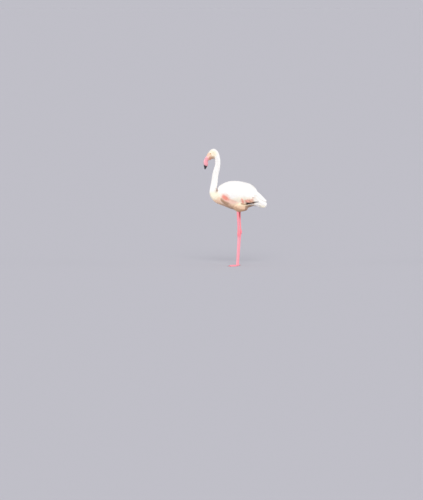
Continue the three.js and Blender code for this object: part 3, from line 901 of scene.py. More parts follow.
class Tract:
    """Lines on a form that run with the lie of the plumage, and feathers that are set on them."""

    def __init__(self, form, span, starts, droop=0.0):
        self.form = form
        self.alongs = np.linspace(*span, TRACT_STEPS)
        self.angles = np.empty((len(starts), TRACT_STEPS))
        self.angles[:, 0] = starts
        step = self.alongs[1] - self.alongs[0]
        for i in range(1, TRACT_STEPS):
            angle, along = self.angles[:, i - 1], self.alongs[i - 1]
            here = form.at(along, angle)
            run = np.linalg.norm(form.at(along + step, angle) - here, axis=1)
            turn = np.maximum(np.linalg.norm(form.at(along, angle + 0.05) - here, axis=1), 0.05) / 0.05
            self.angles[:, i] = angle + droop * np.sin(angle) * abs(np.sin(angle)) * run / turn
        self.lanes = abs(np.gradient(self.angles, axis=0))
        points = form.at(self.alongs[None, :], self.angles)
        runs = np.linalg.norm(np.diff(points, axis=1), axis=2)
        self.arcs = np.concatenate([np.zeros((len(starts), 1)), np.cumsum(runs, axis=1)], axis=1)

    def places(self, gap, dice):
        """Roots at about gap(along, around) from one another: line, along, around and run."""
        found = []
        for line, arcs in enumerate(self.arcs):
            gaps = gap(self.alongs, self.angles[line])
            crowd = np.concatenate([[0], np.cumsum(np.diff(arcs) / gaps[1:])])
            marks = np.arange(0.25 + 0.5 * (line % 2), crowd[-1])
            marks = marks + dice.uniform(-0.16, 0.16, len(marks))
            run = np.interp(marks, crowd, arcs)
            along = np.interp(run, arcs, self.alongs)
            around = np.interp(along, self.alongs, self.angles[line])
            found.append(vectors(line, along, around, run))
        return np.concatenate(found)

    def further(self, line, run):
        """Places at a run down their lines."""
        along, around = np.empty(len(run)), np.empty(len(run))
        for k in np.unique(line):
            mine = line == k
            arcs = self.arcs[int(k)]
            along[mine] = np.interp(run[mine], arcs, self.alongs)
            around[mine] = np.interp(along[mine], self.alongs, self.angles[int(k)])
        return along, around

    def feathers(self, gap, length, depth, overlap, thick, dice, keep=None, slim=0.16, spread=0.06):
        """Feathers rooted in the skin, at a depth below the form. Their width is overlap times that
        of a lane, or at least slim times their length; spread is how far they veer by chance."""
        found = self.places(gap, dice)
        if keep is not None:
            found = found[keep(found[:, 1], found[:, 2])]
        line, along, around, run = found.T
        reach = length(along, around) * dice.uniform(0.86, 1.14, len(along))
        middle_along, middle_around = self.further(line, run + reach / 2)
        tip_along, tip_around = self.further(line, run + reach)
        form = self.form
        beside = np.linalg.norm(form.at(along, around + 0.05) - form.at(along, around), axis=1) / 0.05
        veer = dice.normal(0, spread, len(along)) * reach / np.maximum(beside, 5)
        deep = depth(along)
        root = form.at(along, around, deep + 0.4)
        middle = form.at(middle_along, middle_around + veer / 2, deep * 0.12)
        tip = form.at(tip_along, tip_around + veer, dice.uniform(-0.1, 0.1, len(along)) * deep * 0.1)
        out = form.outward(middle_along, middle_around)
        lane = np.array([np.interp(a, self.alongs, self.lanes[int(k)]) for k, a in zip(line, along)])
        half = overlap * np.maximum(beside * lane, slim * reach) / 2
        rim = half / np.maximum(beside, 1)
        edges = [form.at(middle_along, middle_around + sign * rim, deep * 0.12) for sign in (-1, 1)]
        cup = dots(middle - (edges[0] + edges[1]) / 2, out)[:, 0]
        span = self.alongs[-1] - self.alongs[0]
        across = (line + 0.5) / len(self.arcs)
        spot = (0.01 + 0.98 * (along - self.alongs[0]) / span, 0.01 + 0.98 * across)
        return lay(root, middle, tip, out, half, thick, spot, cup=np.clip(cup, 0, half * 0.8))


def all_round(count):
    """Angles of lines all round a form, none of them along its middle."""
    return np.linspace(-math.pi, math.pi, count, endpoint=False) + math.pi / count


def body_depth(along):
    return table(BODY_DEPTH, 1, along)


# The coat of head, neck and trunk: the part of the body it covers, and the number of lines round
# it; places along, the gaps between feathers there and their lengths; overlap, thickness, and least
# width as a share of the length.
COATS = {
    "head": ((0.25, 7.2), 150, [0, 2, 4, 6.5], [1.4, 1.7, 2, 2.4], [4.5, 6.5, 9, 12], 2.3, 0.1, 0.12),
    "neck": ((5.9, 15.2), 170, [6, 9, 12, 14], [2.6, 3, 3.8, 4.6], [12, 16, 21, 26], 2.5, 0.16, 0.11),
    "breast": ((13.0, 20), 140, [13, 15, 17], [4.2, 5, 6], [25, 30, 34], 2.8, 0.2, 0.13),
    "belly": ((17.6, 27), 112, [18, 24, 27], [7, 8.5, 8], [35, 40, 38], 2.6, 0.2, 0.14),
}
COAT_ENDS = {"head": 6.2, "neck": 13.6, "breast": 18}


def feathered(name, along, around):
    """Where a part of the coat grows. The head is bare between bill and eye, and on the eye; the
    belly's feathers leave the back to the wings."""
    if name == "belly":
        return np.cos(around) < np.where(along < 22.5, 0.45, 2)
    grows = along < COAT_ENDS[name]
    if name == "head":
        place = BODY_FORM.at(along, around)
        lores = 0.4 + 2.05 * np.exp(-(((abs(around) - 1.42) / 0.42) ** 2))
        away = np.hypot(place[:, 1] - EYE[1], place[:, 2] - EYE[2])
        grows = grows & (along > lores) & ~((away < 6.6) & (abs(place[:, 0]) > 12))
    return grows


def coat(dice, form, span, lines, places, gaps, lengths, overlap, thick, slim, **rest):
    """Feathers all round a form, with their gaps and lengths at places along it."""
    return Tract(form, span, all_round(lines)).feathers(
        gap=lambda along, around: np.interp(along, places, gaps),
        length=lambda along, around: np.interp(along, places, lengths),
        overlap=overlap,
        thick=thick,
        dice=dice,
        slim=slim,
        **rest,
    )


def body_feathers(name, dice):
    def keep(along, around):
        return feathered(name, along, around)

    return coat(dice, BODY_FORM, *COATS[name], depth=body_depth, keep=keep, spread=0.1)


def wing_edge_height(y):
    return table(WING_EDGE, 1, y)


def mantle_place(y, z, sign):
    """The place on the mantle at a side view's y and z."""
    rows = np.array(MANTLE, float)
    along = np.interp(y, rows[:, 0], np.arange(len(rows)))
    found = through(MANTLE_FORM.control, along)
    rise = z - found[:, 0, 2]
    reach = np.where(rise > 0, found[:, 1, 2], -found[:, 2, 2])
    return along, sign * np.arccos(np.clip(rise / np.maximum(reach, 1), -1, 1))


def back_feathers(dice):
    """The mantle, the scapulars and the feathers over the shoulders, on both sides."""

    def grade(along, around, near, far):
        """From near, small at the front and low down, to far, long over the back."""
        low = smooth_step(1.2, 1.75, abs(around))
        front = 1 - smooth_step(1.2, 4.6, along)
        return near + (far - near) * np.clip(1 - np.maximum(low, front), 0, 1)

    def keep(along, around):
        place = MANTLE_FORM.at(along, around)
        above = place[:, 2] > wing_edge_height(place[:, 1]) + 34
        last = 8.9 - 1.9 * np.sin(around) ** 2 + dice.normal(0, 0.22, len(along))
        return above & (along < last) & (along > 0.12)

    tract = Tract(MANTLE_FORM, (0.1, 12.5), all_round(124), droop=0.2)
    return tract.feathers(
        gap=lambda along, around: grade(along, around, 6.5, 12),
        length=lambda along, around: grade(along, around, 27, 62),
        depth=lambda along: np.interp(along, [0, 1, 2], [3, 6, MANTLE_DEPTH]),
        overlap=2.3,
        thick=0.22,
        dice=dice,
        keep=keep,
        spread=0.12,
    )


def outer_shell():
    """The outer surface of trunk and wings, to lay the wing's lower feathers on."""
    parts = [
        shell(BODY_FORM.rings(np.linspace(12, 27, 60), 72)),
        shell(MANTLE_FORM.rings(np.linspace(0, 15, 60), 72)),
    ]
    parts += [shell(thigh_form(sign).rings(np.linspace(0, 5, 24), 32)) for sign, _ in SIDES]
    points, faces = merged(parts)
    return BVHTree.FromPolygons([Vector(p) for p in points], faces)


def on_flank(tree, y, z, sign, lift):
    """Points on the outer surface at a side view's y and z, and the directions out of it."""
    points, outs = [], []
    for a, b in zip(y, z):
        hit, normal, _, _ = tree.ray_cast(Vector((sign * 300.0, a, b)), Vector((-sign, 0, 0)))
        if hit is None:
            hit, normal = Vector((0, a, b)), Vector((sign, 0, 0))
        if normal.x * sign < 0:
            normal = -normal
        points.append(hit)
        outs.append(normal)
    outs = np.array(outs)
    return np.array(points) + outs * np.reshape(lift, (-1, 1)), outs


def side_feathers(tree, sign, root, tip, lifts, half, thick, spot):
    """Feathers laid on the flank between side-view places root and tip, [y, z] rows."""
    stops = zip((root, (root + tip) / 2, tip), lifts)
    (rooted, _), (mid, out), (ended, _) = (on_flank(tree, *stop.T, sign, lift) for stop, lift in stops)
    return lay(rooted, mid, ended, out, half, thick, spot, cup=half * 0.12)


def wing_feathers(tree, sign, dice):
    """Rows of coverts above the wing's lower edge, the lowest row reaching furthest down, and some
    rows of flank feathers below it."""
    edge = np.array(WING_EDGE, float)
    last = len(edge) - 1
    rows = []
    for row in range(-4, 8):
        places = np.arange(0.01 + 0.5 * (row % 2) / COVERTS_A_ROW, 1, 1 / COVERTS_A_ROW) * last
        if row < 0:
            places = places[(places > 3.2) & (places < 6.9)]
        places = np.clip(places + dice.uniform(-0.03, 0.03, len(places)), 0, last)
        at = through(edge, places)
        ahead = unit(through(edge, places + 0.05) - through(edge, places - 0.05))
        inward = vectors(-ahead[:, 1], ahead[:, 0])
        rear = smooth_step(1.5, 6, places)
        reach = (24 + 22 * rear + 1.5 * max(row, 0)) * dice.uniform(0.85, 1.15, len(places))
        slope = 0.6 - 0.3 * rear + dice.normal(0, 0.09, len(places))
        lie = unit(ahead * (0.75 + 0.35 * rear[:, None]) - inward * slope[:, None])
        tip = at + inward * (row * COVERT_STEP + dice.uniform(-3.5, 3.5, len(places)))[:, None]
        root = tip - lie * reach[:, None]
        spot = (0.02 + 0.96 * places / last, (row + 4.5) / 12)
        # Each row lies on the one below it.
        lifts = np.array([-5, -0.2, 0.6]) + 0.25 * (row + 4)
        rows.append(side_feathers(tree, sign, root, tip, lifts, 5.6 + 2.2 * rear, 0.2, spot))
    return rows


def tertial_feathers(sign, dice):
    """The long inner flight feathers, which droop over the tail, in layers."""
    ends = np.array(TERTIAL_ENDS, float)
    heart = np.array([170.0, 690.0])
    found = []
    layers = [(17, 0.0, 0.0, 1.0), (16, 0.5, 3.0, 0.97), (15, 0.2, 7.0, 0.93), (13, 0.6, 12.0, 0.89)]
    form = MANTLE_FORM
    for layer, (count, offset, deep, full) in enumerate(layers):
        share = np.clip((np.arange(count) + offset) / (count - 0.5), 0, 1)
        tip = heart + (through(ends, share * (len(ends) - 1)) - heart) * full
        tip = tip + dice.uniform(-2.5, 2.5, (count, 2))
        starts = mantle_place(20 + 92 * share**0.8, 668 + 138 * share**0.9, sign)
        stops = mantle_place(*tip.T, sign)
        middles = [(a + b) / 2 for a, b in zip(starts, stops)]
        root = form.at(*starts, 9 + deep)
        middle = form.at(*middles, 1.2 + deep)
        end = form.at(*stops, 0.5 + deep * 0.6)
        half = 13.5 - 2 * share
        out = form.outward(*middles)
        spot = (0.04 + 0.92 * share, 0.125 + 0.25 * layer)
        found.append(lay(root, middle, end, out, half, 0.5, spot, patch=0.05, cup=half * 0.22))
    return found


def ridge_feathers(dice):
    """The uppermost long feathers, over the end of the back on both sides."""
    found = []
    form = MANTLE_FORM
    layers = [(13, 0.0), (12, 3.5), (11, 8.0), (9, 14.0), (7, 21.0)]
    for layer, (count, deep) in enumerate(layers):
        share = np.linspace(-1, 1, count)
        root_along = 6.6 + 0.5 * abs(share) + dice.uniform(-0.1, 0.1, count)
        tip_along = 14.7 - 1.1 * abs(share) ** 2 - 0.12 * layer + dice.uniform(-0.15, 0.15, count)
        middle_along = (root_along + tip_along) / 2
        root = form.at(root_along, 0.75 * share, 8 + deep)
        middle = form.at(middle_along, 1.05 * share, 1 + deep)
        end = form.at(tip_along, 1.45 * share, 0.3 + deep * 0.8)
        out = form.outward(middle_along, 1.05 * share)
        half = 14 - 2 * abs(share)
        spot = (0.5 + 0.46 * share, 0.06 + 0.1 * layer)
        found.append(lay(root, middle, end, out, half, 0.5, spot, patch=0.05, cup=half * 0.3))
    # Below them lie the innermost feathers of both wings, which meet over the tail.
    share = np.linspace(-1, 1, 5)
    for layer, height in enumerate(np.linspace(654, 590, 12)):
        tip_y = np.interp(height, [588, 596, 612, 640, 656], [260, 270, 280, 282, 277])
        tip_y = tip_y - 5 * share**2 + dice.uniform(-2, 2, 5)
        tip_z = height - 2 * share**2 + dice.uniform(-1, 1, 5)
        tip = vectors(share * table(MANTLE, 4, tip_y) * 0.7, tip_y, tip_z)
        root = vectors(share * 23, 155, tip_z + 0.55 * (tip_y - 155))
        middle = (root + tip) / 2 + [0, 0, 6]
        spot = (0.5 + 0.46 * share, 0.56 + 0.036 * layer)
        found.append(
            lay(root, middle, tip, vectors(share * 0.6, 0.2, 1), 9.5, 0.5, spot, patch=0.05, cup=2.5)
        )
    return found


def primary_feathers(sign):
    """The black outer flight feathers, one upon another, which come out from under the coverts."""
    share = np.linspace(0, 1, 9)
    lane = 0.8 - 1.5 * share

    def at(y, up, layer):
        z, half, x = (table(PRIMARIES, column, y) for column in (1, 2, 3))
        return vectors(sign * (x + layer), y, z + up * half)

    root_y, tip_y = 64 + 6 * share, 209 - 82 * share
    root = at(root_y, lane, 1 - 2.5 * share)
    tip = at(tip_y, lane * 0.8, 2.6 - 2.2 * share)
    middle = at((root_y + tip_y) / 2, lane, 3.2 - 2.6 * share)
    out = vectors(sign + 0 * share, 0.25, 0.1)
    return lay(root, middle, tip, out, 3.4, 0.5, (0.08 + 0.84 * share, 0.5), patch=0.1, cup=0.6)


def tail_feathers():
    """A short fan, arched across."""
    share = np.linspace(-1, 1, 12)

    def at(y, deep):
        z, half, up = (table(TAIL, column, y) for column in (1, 4, 2))
        return vectors(share * half * 0.86, y, z + up * np.sqrt(1 - 0.8 * share**2) - deep)

    stack = 2.8 * abs(share)
    root_y, tip_y = 98.0, 236 - 16 * share**2
    root, tip = at(root_y, 6 + stack), at(tip_y, 1 + stack)
    middle = at((root_y + tip_y) / 2, 2 + stack)
    out = vectors(share * 0.5, 0, 1)
    return lay(root, middle, tip, out, 10.5, 0.6, (0.5 + 0.42 * share, 0.5), patch=0.07, cup=1.5)


def tail_coverts(dice):
    """The feathers under and over the root of the tail."""
    return Tract(upright_form(TAIL), (-0.9, 3.6), all_round(34)).feathers(
        gap=lambda along, around: np.full(along.shape, 12.0),
        length=lambda along, around: np.where(np.cos(around) < 0.2, 52.0, 36.0),
        depth=lambda along: np.full(along.shape, 6.0),
        overlap=1.8,
        thick=0.3,
        dice=dice,
        keep=lambda along, around: along < np.where(np.cos(around) < 0, 2.5, 1.2),
    )


def thigh_form(sign):
    share, back, front, half = columns(THIGH)
    y, z = THIGH_AT[sign] + THIGH_LEAN * share, THIGH_TOP + (THIGH_END - THIGH_TOP) * share
    return limb_form(vectors(sign * HIP_SPREAD, y, z), back, front, half)


def thigh_feathers(sign, dice):
    def depth(along):
        return np.interp(along, [0, 3, 5], [THIGH_DEPTH, 5, 3])

    gaps, lengths = [6.5, 5.5, 4.5], [30, 27, 20]
    rows = ((0.1, 5), 64, [0, 3, 5], gaps, lengths, 2.0, 0.2, 0.14)
    return coat(dice, thigh_form(sign), *rows, depth=depth, spread=0.12)


# ---------------------------------------------------------------- flesh


def leg_points(sign, hip, ankle, foot, raised):
    """Hip, upper and lower end of the ankle joint, knuckle and sole of a leg."""
    top = np.array([sign * HIP_SPREAD, hip, SHANK_TOP], float)
    joint = np.array([sign * (HIP_SPREAD - 1), ankle, ANKLE_HEIGHT + raised], float)
    sole = np.array([sign * FOOT_SPREAD, foot, 0], float)
    above = joint + ANKLE_REACH * unit(top - joint)
    below = joint + ANKLE_REACH * unit(sole - joint)
    knuckle = sole + (joint - sole) * KNUCKLE / joint[2]
    return top, above, below, knuckle, sole


def leg_form(points):
    """Shank, ankle and tarsus as one form, which runs on down into the knuckle."""
    top, above, below, knuckle, _ = points
    rows = [
        (*(start + (end - start) * share), back, front, half)
        for start, end, limb in ((top, above, SHANK), (above, below, ANKLE), (below, knuckle, TARSUS))
        for share, back, front, half in limb
    ]
    rows.append((*(knuckle + (knuckle - below) * 9 / abs(knuckle[2] - below[2])), 7.6, 7.6, 8))
    x, y, z, back, front, half = columns(rows)
    return limb_form(vectors(x, y, z), back, front, half)


def turns(count):
    """Angles all round, from the upper side."""
    return np.linspace(0, 2 * np.pi, count, endpoint=False)


def ball_rings(centre, radius, tilt, round_axis, axis):
    """Rings on a ball, tilted away from an axis; round_axis holds the directions round it."""
    tilt = tilt[:, None, None]
    return centre + radius * (np.sin(tilt) * round_axis + np.cos(tilt) * axis)


def web_part(origin, first, second):
    """The skin between two toes, given as angle and length: a thin plate with rounded faces."""
    sides = []
    for angle, length in (first, second):
        turn = math.radians(angle)
        sides.append(np.array([math.sin(turn), -math.cos(turn)]) * length * 0.93)
    share = np.linspace(0, 1, 17)[:, None]
    hollow = 0.41 * (sides[0] + sides[1])
    rim = (1 - share) ** 2 * sides[0] + 2 * share * (1 - share) * hollow + share**2 * sides[1]
    count = len(rim)
    steps = np.linspace(0.03, 1, 12)
    points, faces = [], []
    for height, slack in ((WEB_TOP, 0.35), (WEB_BOTTOM, 0)):
        sag = slack * np.sin(np.pi * share[:, 0])
        points += [np.column_stack([rim * step, height - sag * step]) for step in steps]
    points = np.concatenate(points) + [origin[0], origin[1], 0]
    layer = len(steps) * count
    for i in range(len(steps) - 1):
        for j in range(count - 1):
            a = i * count + j
            faces.append((a, a + 1, a + count + 1, a + count))
            faces.append((a + layer, a + layer + count, a + layer + count + 1, a + layer + 1))
    # The wall round it: the narrow end, one side, the rim and the other side.
    rimmed = [*range(count)]
    rimmed += [i * count + count - 1 for i in range(1, len(steps))]
    rimmed += [layer - count + j for j in range(count - 2, -1, -1)]
    rimmed += [i * count for i in range(len(steps) - 2, 0, -1)]
    for a, b in zip(rimmed, rimmed[1:] + rimmed[:1]):
        faces.append((b, a, a + layer, b + layer))
    return points, faces


def toes_of(sign):
    """The toes of a foot: name, angle, length and sections."""
    front = [(name, angle * sign, length, TOE) for name, angle, length in TOES]
    return [*front, ("hind", 180 - 16 * sign, HIND_TOE_LENGTH, HIND_TOE)]


def off_floor(points, height):
    """Points, none of them lower than a height."""
    return np.maximum(points, [-np.inf, -np.inf, height])


def foot_parts(sign, sole):
    """Toes, knuckle and the webs between the front toes."""
    toes = toes_of(sign)
    parts = [
        shell(toe_form(sole, angle, length, rows).rings(np.linspace(0, len(rows) - 1, 34), 16))
        for _, angle, length, rows in toes
    ]
    around, middle = turns(20), sole + [0, 0, KNUCKLE_HEIGHT]
    level = vectors(np.cos(around), np.sin(around), 0)
    tilt = np.linspace(0.12, math.pi - 0.12, 14)
    parts.append(shell(ball_rings(middle, KNUCKLE_RADIUS, tilt, level, np.array([0, 0, 1]))))
    inner, middle, outer, _ = [(angle, length) for _, angle, length, _ in toes]
    parts += [web_part(sole, inner, middle), web_part(sole, middle, outer)]
    return [(off_floor(points, 0.05), faces) for points, faces in parts]


def eye_frame(sign):
    """The middle of an eye, and its directions: out of the head, forwards and up."""
    centre = EYE * [sign, 1, 1]
    out = unit(EYE_FACING * [sign, 1, 1])
    forward = unit(np.array([0, -1.0, 0]) - out * -out[1])
    return centre, out, forward, unit(np.cross(forward, out) * sign)


def round_eye(sign, around):
    """Directions across the eye, at angles round it."""
    _, _, forward, up = eye_frame(sign)
    return np.cos(around)[:, None] * forward + np.sin(around)[:, None] * up


def head_rings():
    """The skin of head, neck and trunk, sunk a little round the eyes."""
    alongs = np.concatenate([np.linspace(0, 6, 84), np.linspace(6.15, 13, 48), np.linspace(13.3, 27, 52)])
    rings = BODY_FORM.rings(alongs, 96, body_depth(alongs))
    for sign, _ in SIDES:
        centre, out, _, _ = eye_frame(sign)
        offset = rings - centre
        depth = dots(offset, out)
        away = np.linalg.norm(offset - depth * out, axis=-1, keepdims=True)
        near = (depth > 0) * (1 - smooth_step(5.2, 8.6, away))
        rings = rings - out * 2.4 * near
        # The brow and the cheek swell slightly over and under the eye.
        swell = (depth > 0) * np.exp(-(((away - 11) / 4.5) ** 2)) * 0.7
        rings = rings + out * swell
    return rings


def lid_part(sign):
    """The rim round an eye: an oval opening that lies on the eyeball and slopes into the skin."""
    centre, out, _, _ = eye_frame(sign)
    around = turns(56)
    radial = round_eye(sign, around)
    width, height = LID_OPENING
    opening = 1 / np.sqrt((np.cos(around) / width) ** 2 + (np.sin(around) / height) ** 2)

    def on_ball(radius):
        return np.sqrt(np.maximum(EYE_RADIUS**2 - radius**2, 1))

    # From the inside over the edge: reach from the eye's axis, and height along it.
    inner = opening + 0.35
    rows = [(inner, on_ball(inner) - 0.7), (opening, on_ball(opening) - 0.1)]
    for wider, lift in ((0.05, 0.45), (0.55, 0.8), (1.3, 0.75), (2.2, 0.35)):
        rows.append((opening + wider, on_ball(opening) + lift))
    # It ends in the skin.
    for reach, height in ((LID_REACH, 3.9), (LID_REACH - 0.8, 2.4)):
        rows.append((0 * opening + reach, 0 * opening + height))
    rings = np.stack([centre + radial * r[:, None] + out * h[:, None] for r, h in rows])
    return rings.reshape(-1, 3), bands(*rings.shape[:2], joined=True)


def united(name, parts, material):
    """One object without inner walls, from closed parts that run into one another."""
    first = make_object(name, parts[:1], material)
    others = bpy.data.collections.new(f"{name}_parts")
    for i, part in enumerate(parts[1:]):
        other = make_object(f"{name}_part_{i}", [part], material)
        bpy.context.scene.collection.objects.unlink(other)
        others.objects.link(other)
    union = first.modifiers.new("Union", "BOOLEAN")
    union.operation = "UNION"
    union.operand_type = "COLLECTION"
    union.collection = others
    union.solver = "EXACT"
    mesh = bpy.data.meshes.new_from_object(first.evaluated_get(bpy.context.evaluated_depsgraph_get()))
    first.modifiers.remove(union)
    first.data = mesh
    for other in list(others.objects):
        bpy.data.objects.remove(other)
    bpy.data.collections.remove(others)
    mesh.shade_smooth()
    return first


def bill_relief(is_upper, height, grown):
    """Of a half of the bill: how deep its grooves are, how much shade is painted on it, and where
    its nostril is, from the height round a section and the sections passed."""

    def line(at, width):
        return np.exp(-(((height - at) / width) ** 2))

    if is_upper:
        # A groove below the ridge, with the nostril as a slit in it. The ridge is painted darker, as
        # shade.
        slit = line(0.55, 0.08) * np.exp(-(((grown - 1.95) / 0.45) ** 4))
        deep = 0.05 * line(0.55, 0.16) * (1 - smooth_step(4.5, 5.5, grown)) + 0.14 * slit
        painted_bill_shade = 0.34 * smooth_step(0.3, 0.85, height) * smooth_step(1.6, 3.2, grown)
    else:
        slit = np.zeros(np.broadcast_shapes(height.shape, grown.shape))
        deep = 0.035 * line(-0.3, 0.14) * (1 - smooth_step(4.5, 6, grown))
        # The underside is painted darker, as shade.
        painted_bill_shade = 0.22 * smooth_step(0.2, 0.9, -height) * (1 - smooth_step(6, 7, grown))
    return deep, painted_bill_shade, slit


def bill_colours(is_upper, points, painted_bill_shade, slit):
    """Pink as far as the bend and dark beyond it, with a ragged border."""
    chosen = settings("flamingo_bare_parts")
    ragged = 0.8 * np.sin(points[:, 0] * 0.5 + 1) + 0.5 * np.sin(points[:, 1] * 0.5)
    # The dark tip reaches higher on the ridge than underneath.
    height = points[:, 2] + 0.5 * (points[:, 1] + 334) + ragged
    dark = 1 - smooth_step(BILL_TIP - 4, BILL_TIP + 5, height)
    dark = np.maximum(dark, 0.14 * (1 - smooth_step(BILL_TIP, BILL_TIP + 26, height)))
    # Painted shade: the upper half's ridge and the lower half's underside darker, and the nostril slit
    # nearly black as shade in its hollow.
    shade = (1 - painted_bill_shade * (1 - 0.35 * slit)) * (1 - 0.9 * smooth_step(0.3, 0.6, slit))
    # The lower half is painted a little darker and redder, as shade.
    tint = np.array(chosen.bill) * (1.0 if is_upper else (0.98, 0.8, 0.8))
    return blended(tint * np.append(shade.ravel(), [1, 1])[:, None], chosen.bill_tip, dark)


def skin_colours(points):
    """Feathered skin takes the plumage's colours; legs, face and eyelids have their own."""
    chosen = settings("flamingo_bare_parts")
    y, z = points[:, 1], points[:, 2]
    legs = 1 - smooth_step(THIGH_END - 2, THIGH_END + 4, z)
    found = blended(plumage_colours(points), bare_colours(points), legs)
    face = (1 - smooth_step(-290, -276, y)) * smooth_step(1040, 1060, z)
    gape = face * (1 - smooth_step(1078, 1092, z))
    found = blended(found, chosen.face, 0.85 * face)
    found = blended(found, chosen.lid, 0.5 * gape)
    for sign, _ in SIDES:
        centre, out, _, _ = eye_frame(sign)
        offset = points - centre
        away = np.linalg.norm(offset - dots(offset, out) * out, axis=1)
        close = (points[:, 0] * sign > 5) * (1 - smooth_step(5.6, 8.0, away))
        found = blended(found, chosen.lid, close * 0.9)
    return found


# ---------------------------------------------------------------- operators


class FLAMINGO_OT_skin(bpy.types.Operator):
    """Builds the skin from head to toes, which shows on the face, the legs and the feet"""

    bl_idname = "flamingo.skin"
    bl_label = "Skin"

    def execute(self, context):
        alongs = np.linspace(0.6, 8.2, 40)
        inset = np.interp(alongs, [0.6, 2, 6.5, 8.2], [9, 8.5, 9, 42])
        parts = [shell(head_rings()), shell(MANTLE_FORM.rings(alongs, 64, inset))]
        for sign, _, *places in LEGS:
            parts.append(shell(thigh_form(sign).rings(np.linspace(0, 4.9, 26), 32, THIGH_DEPTH * 0.9)))
            points = leg_points(sign, *places)
            form = leg_form(points)
            parts.append(shell(form.rings(np.linspace(0, form.last, 110), 28)))
            parts += [*foot_parts(sign, points[-1]), lid_part(sign)]
        made = united("skin", parts, skin_material())
        points = unplaced(corners_of(made.data))
        paint(made.data, skin_colours(points))
        store(made.data, "plated", 0.08 + 0.55 * (points[:, 2] < THIGH_END + 20))
        flesh = ["head", "neck_upper", "neck_middle", "neck_lower", "neck_base", "trunk"]
        for name in ("wing", "thigh", "shank", "ankle", "tarsus", "foot"):
            flesh += [f"{name}_{side}" for _, side in SIDES]
        finished(made, flesh)
        return {"FINISHED"}


class FLAMINGO_OT_bill(bpy.types.Operator):
    """Builds the two halves of the bill, with nostrils and the dark tip"""

    bl_idname = "flamingo.bill"
    bl_label = "Bill"

    def execute(self, context):
        material = horn_material("flamingo_bill", 0.38)
        alongs, count = np.linspace(0, len(BILL) - 1, 150), 112
        height = np.cos(turns(count))[None, :]
        for name, is_upper in (("bill_upper", True), ("bill_lower", False)):
            form = bill_form(is_upper)
            rings = form.rings(alongs, count)
            middle = through(form.control, alongs)[:, 0, None, :]
            deep, painted_bill_shade, slit = bill_relief(is_upper, height, alongs[:, None])
            made = make_object(name, [shell(rings - (rings - middle) * deep[:, :, None])], material)
            points = unplaced(corners_of(made.data))
            paint(made.data, bill_colours(is_upper, points, painted_bill_shade, slit))
            finished(made, [name])
        return {"FINISHED"}


class FLAMINGO_OT_eyes(bpy.types.Operator):
    """Builds the eyeballs, with iris and pupil"""

    bl_idname = "flamingo.eyes"
    bl_label = "Eyes"

    def execute(self, context):
        iris = np.array(settings("flamingo_bare_parts").iris)
        material, _, _ = tinted_material("flamingo_eye", 0.06, Coat_Weight=1.0, Coat_Roughness=0.02)
        # Rings stand close together at the borders of pupil and iris.
        degrees = [4, 9, 13, PUPIL - 0.4, PUPIL + 0.4, 19, 25, 31, 37, 42, IRIS - 0.4, IRIS + 0.4]
        degrees = np.array([*degrees, *np.linspace(52, 174, 16)])
        bulge = EYE_RADIUS + 0.3 * (1 - smooth_step(30, 50, degrees))[:, None, None]
        for sign, side in SIDES:
            centre, out, forward, up = eye_frame(sign)
            rings = ball_rings(centre, bulge, np.radians(degrees), round_eye(sign, turns(48)), out)
            made = make_object(f"eye_{side}", [shell(rings)], material)
            offset = unit(unplaced(corners_of(made.data)) - centre)
            angle = np.degrees(np.arccos(np.clip(offset @ out, -1, 1)))
            streak = 0.88 + 0.12 * np.sin(22 * np.arctan2(offset @ up, offset @ forward))
            limbus = 1 - 0.45 * smooth_step(36, 45, angle)
            tint = iris * (streak * limbus)[:, None]
            tint[angle < PUPIL] = 0.004
            tint[angle > IRIS] = (0.05, 0.02, 0.015)
            paint(made.data, tint)
            finished(made, [f"eye_{side}"])
        return {"FINISHED"}


class FLAMINGO_OT_claws(bpy.types.Operator):
    """Builds the claws at the ends of the toes"""

    bl_idname = "flamingo.claws"
    bl_label = "Claws"

    def execute(self, context):
        material = horn_material("flamingo_claw", 0.45)
        tint = np.array(settings("flamingo_bare_parts").claw)
        for sign, side, *places in LEGS:
            sole = leg_points(sign, *places)[-1]
            for name, angle, length, rows in toes_of(sign):
                size, drop = (CLAW * 0.7, 3.2) if name == "hind" else (CLAW, 1.9)
                end = rows[-1][1]
                claw = [
                    ((length - size * 0.25) / length, end, 1.7),
                    ((length + size * 0.15) / length, end + 0.5, 1.9),
                    ((length + size * 0.6) / length, end - drop * 0.3, 1.3),
                    ((length + size) / length, end - drop, 0.45),
                ]
                rings = toe_form(sole, angle, length, claw).rings(np.linspace(0, 3, 14), 12)
                points, faces = shell(rings)
                label = f"claw_{side}_{name}"
                made = make_object(label, [(off_floor(points, 0), faces)], material)
                paint(made.data, np.tile(tint, (len(points), 1)))
                finished(made, [label])
        return {"FINISHED"}


class FLAMINGO_OT_plumage(bpy.types.Operator):
    """Lays the small feathers over head, neck, trunk, back and thighs"""

    bl_idname = "flamingo.plumage"
    bl_label = "Plumage"

    def execute(self, context):
        outline = vanes()
        fine = feather_material("flamingo_down", 8, 0.0001)
        coarse = feather_material("flamingo_contour", 22, 0.0002)
        dice = np.random.default_rng(PLUMAGE_SEED)
        body = {name: body_feathers(name, dice) for name in ("breast", "belly", "head", "neck")}
        pieces = [
            ("head", "down", body["head"], fine, 3),
            ("neck", "down", body["neck"], fine, 5),
            ("breast", "soft", body["breast"], coarse, 7),
            ("belly", "soft", body["belly"], coarse, 8),
            ("back", "contour", back_feathers(dice), coarse, 9),
        ]
        for sign, side in SIDES:
            pieces.append((f"thigh_{side}", "soft", thigh_feathers(sign, dice), coarse, 13 + sign))
        for name, shape, feathers, material, seed in pieces:
            plumage_piece(f"plumage_{name}", outline[shape], [feathers], material, seed)
        return {"FINISHED"}


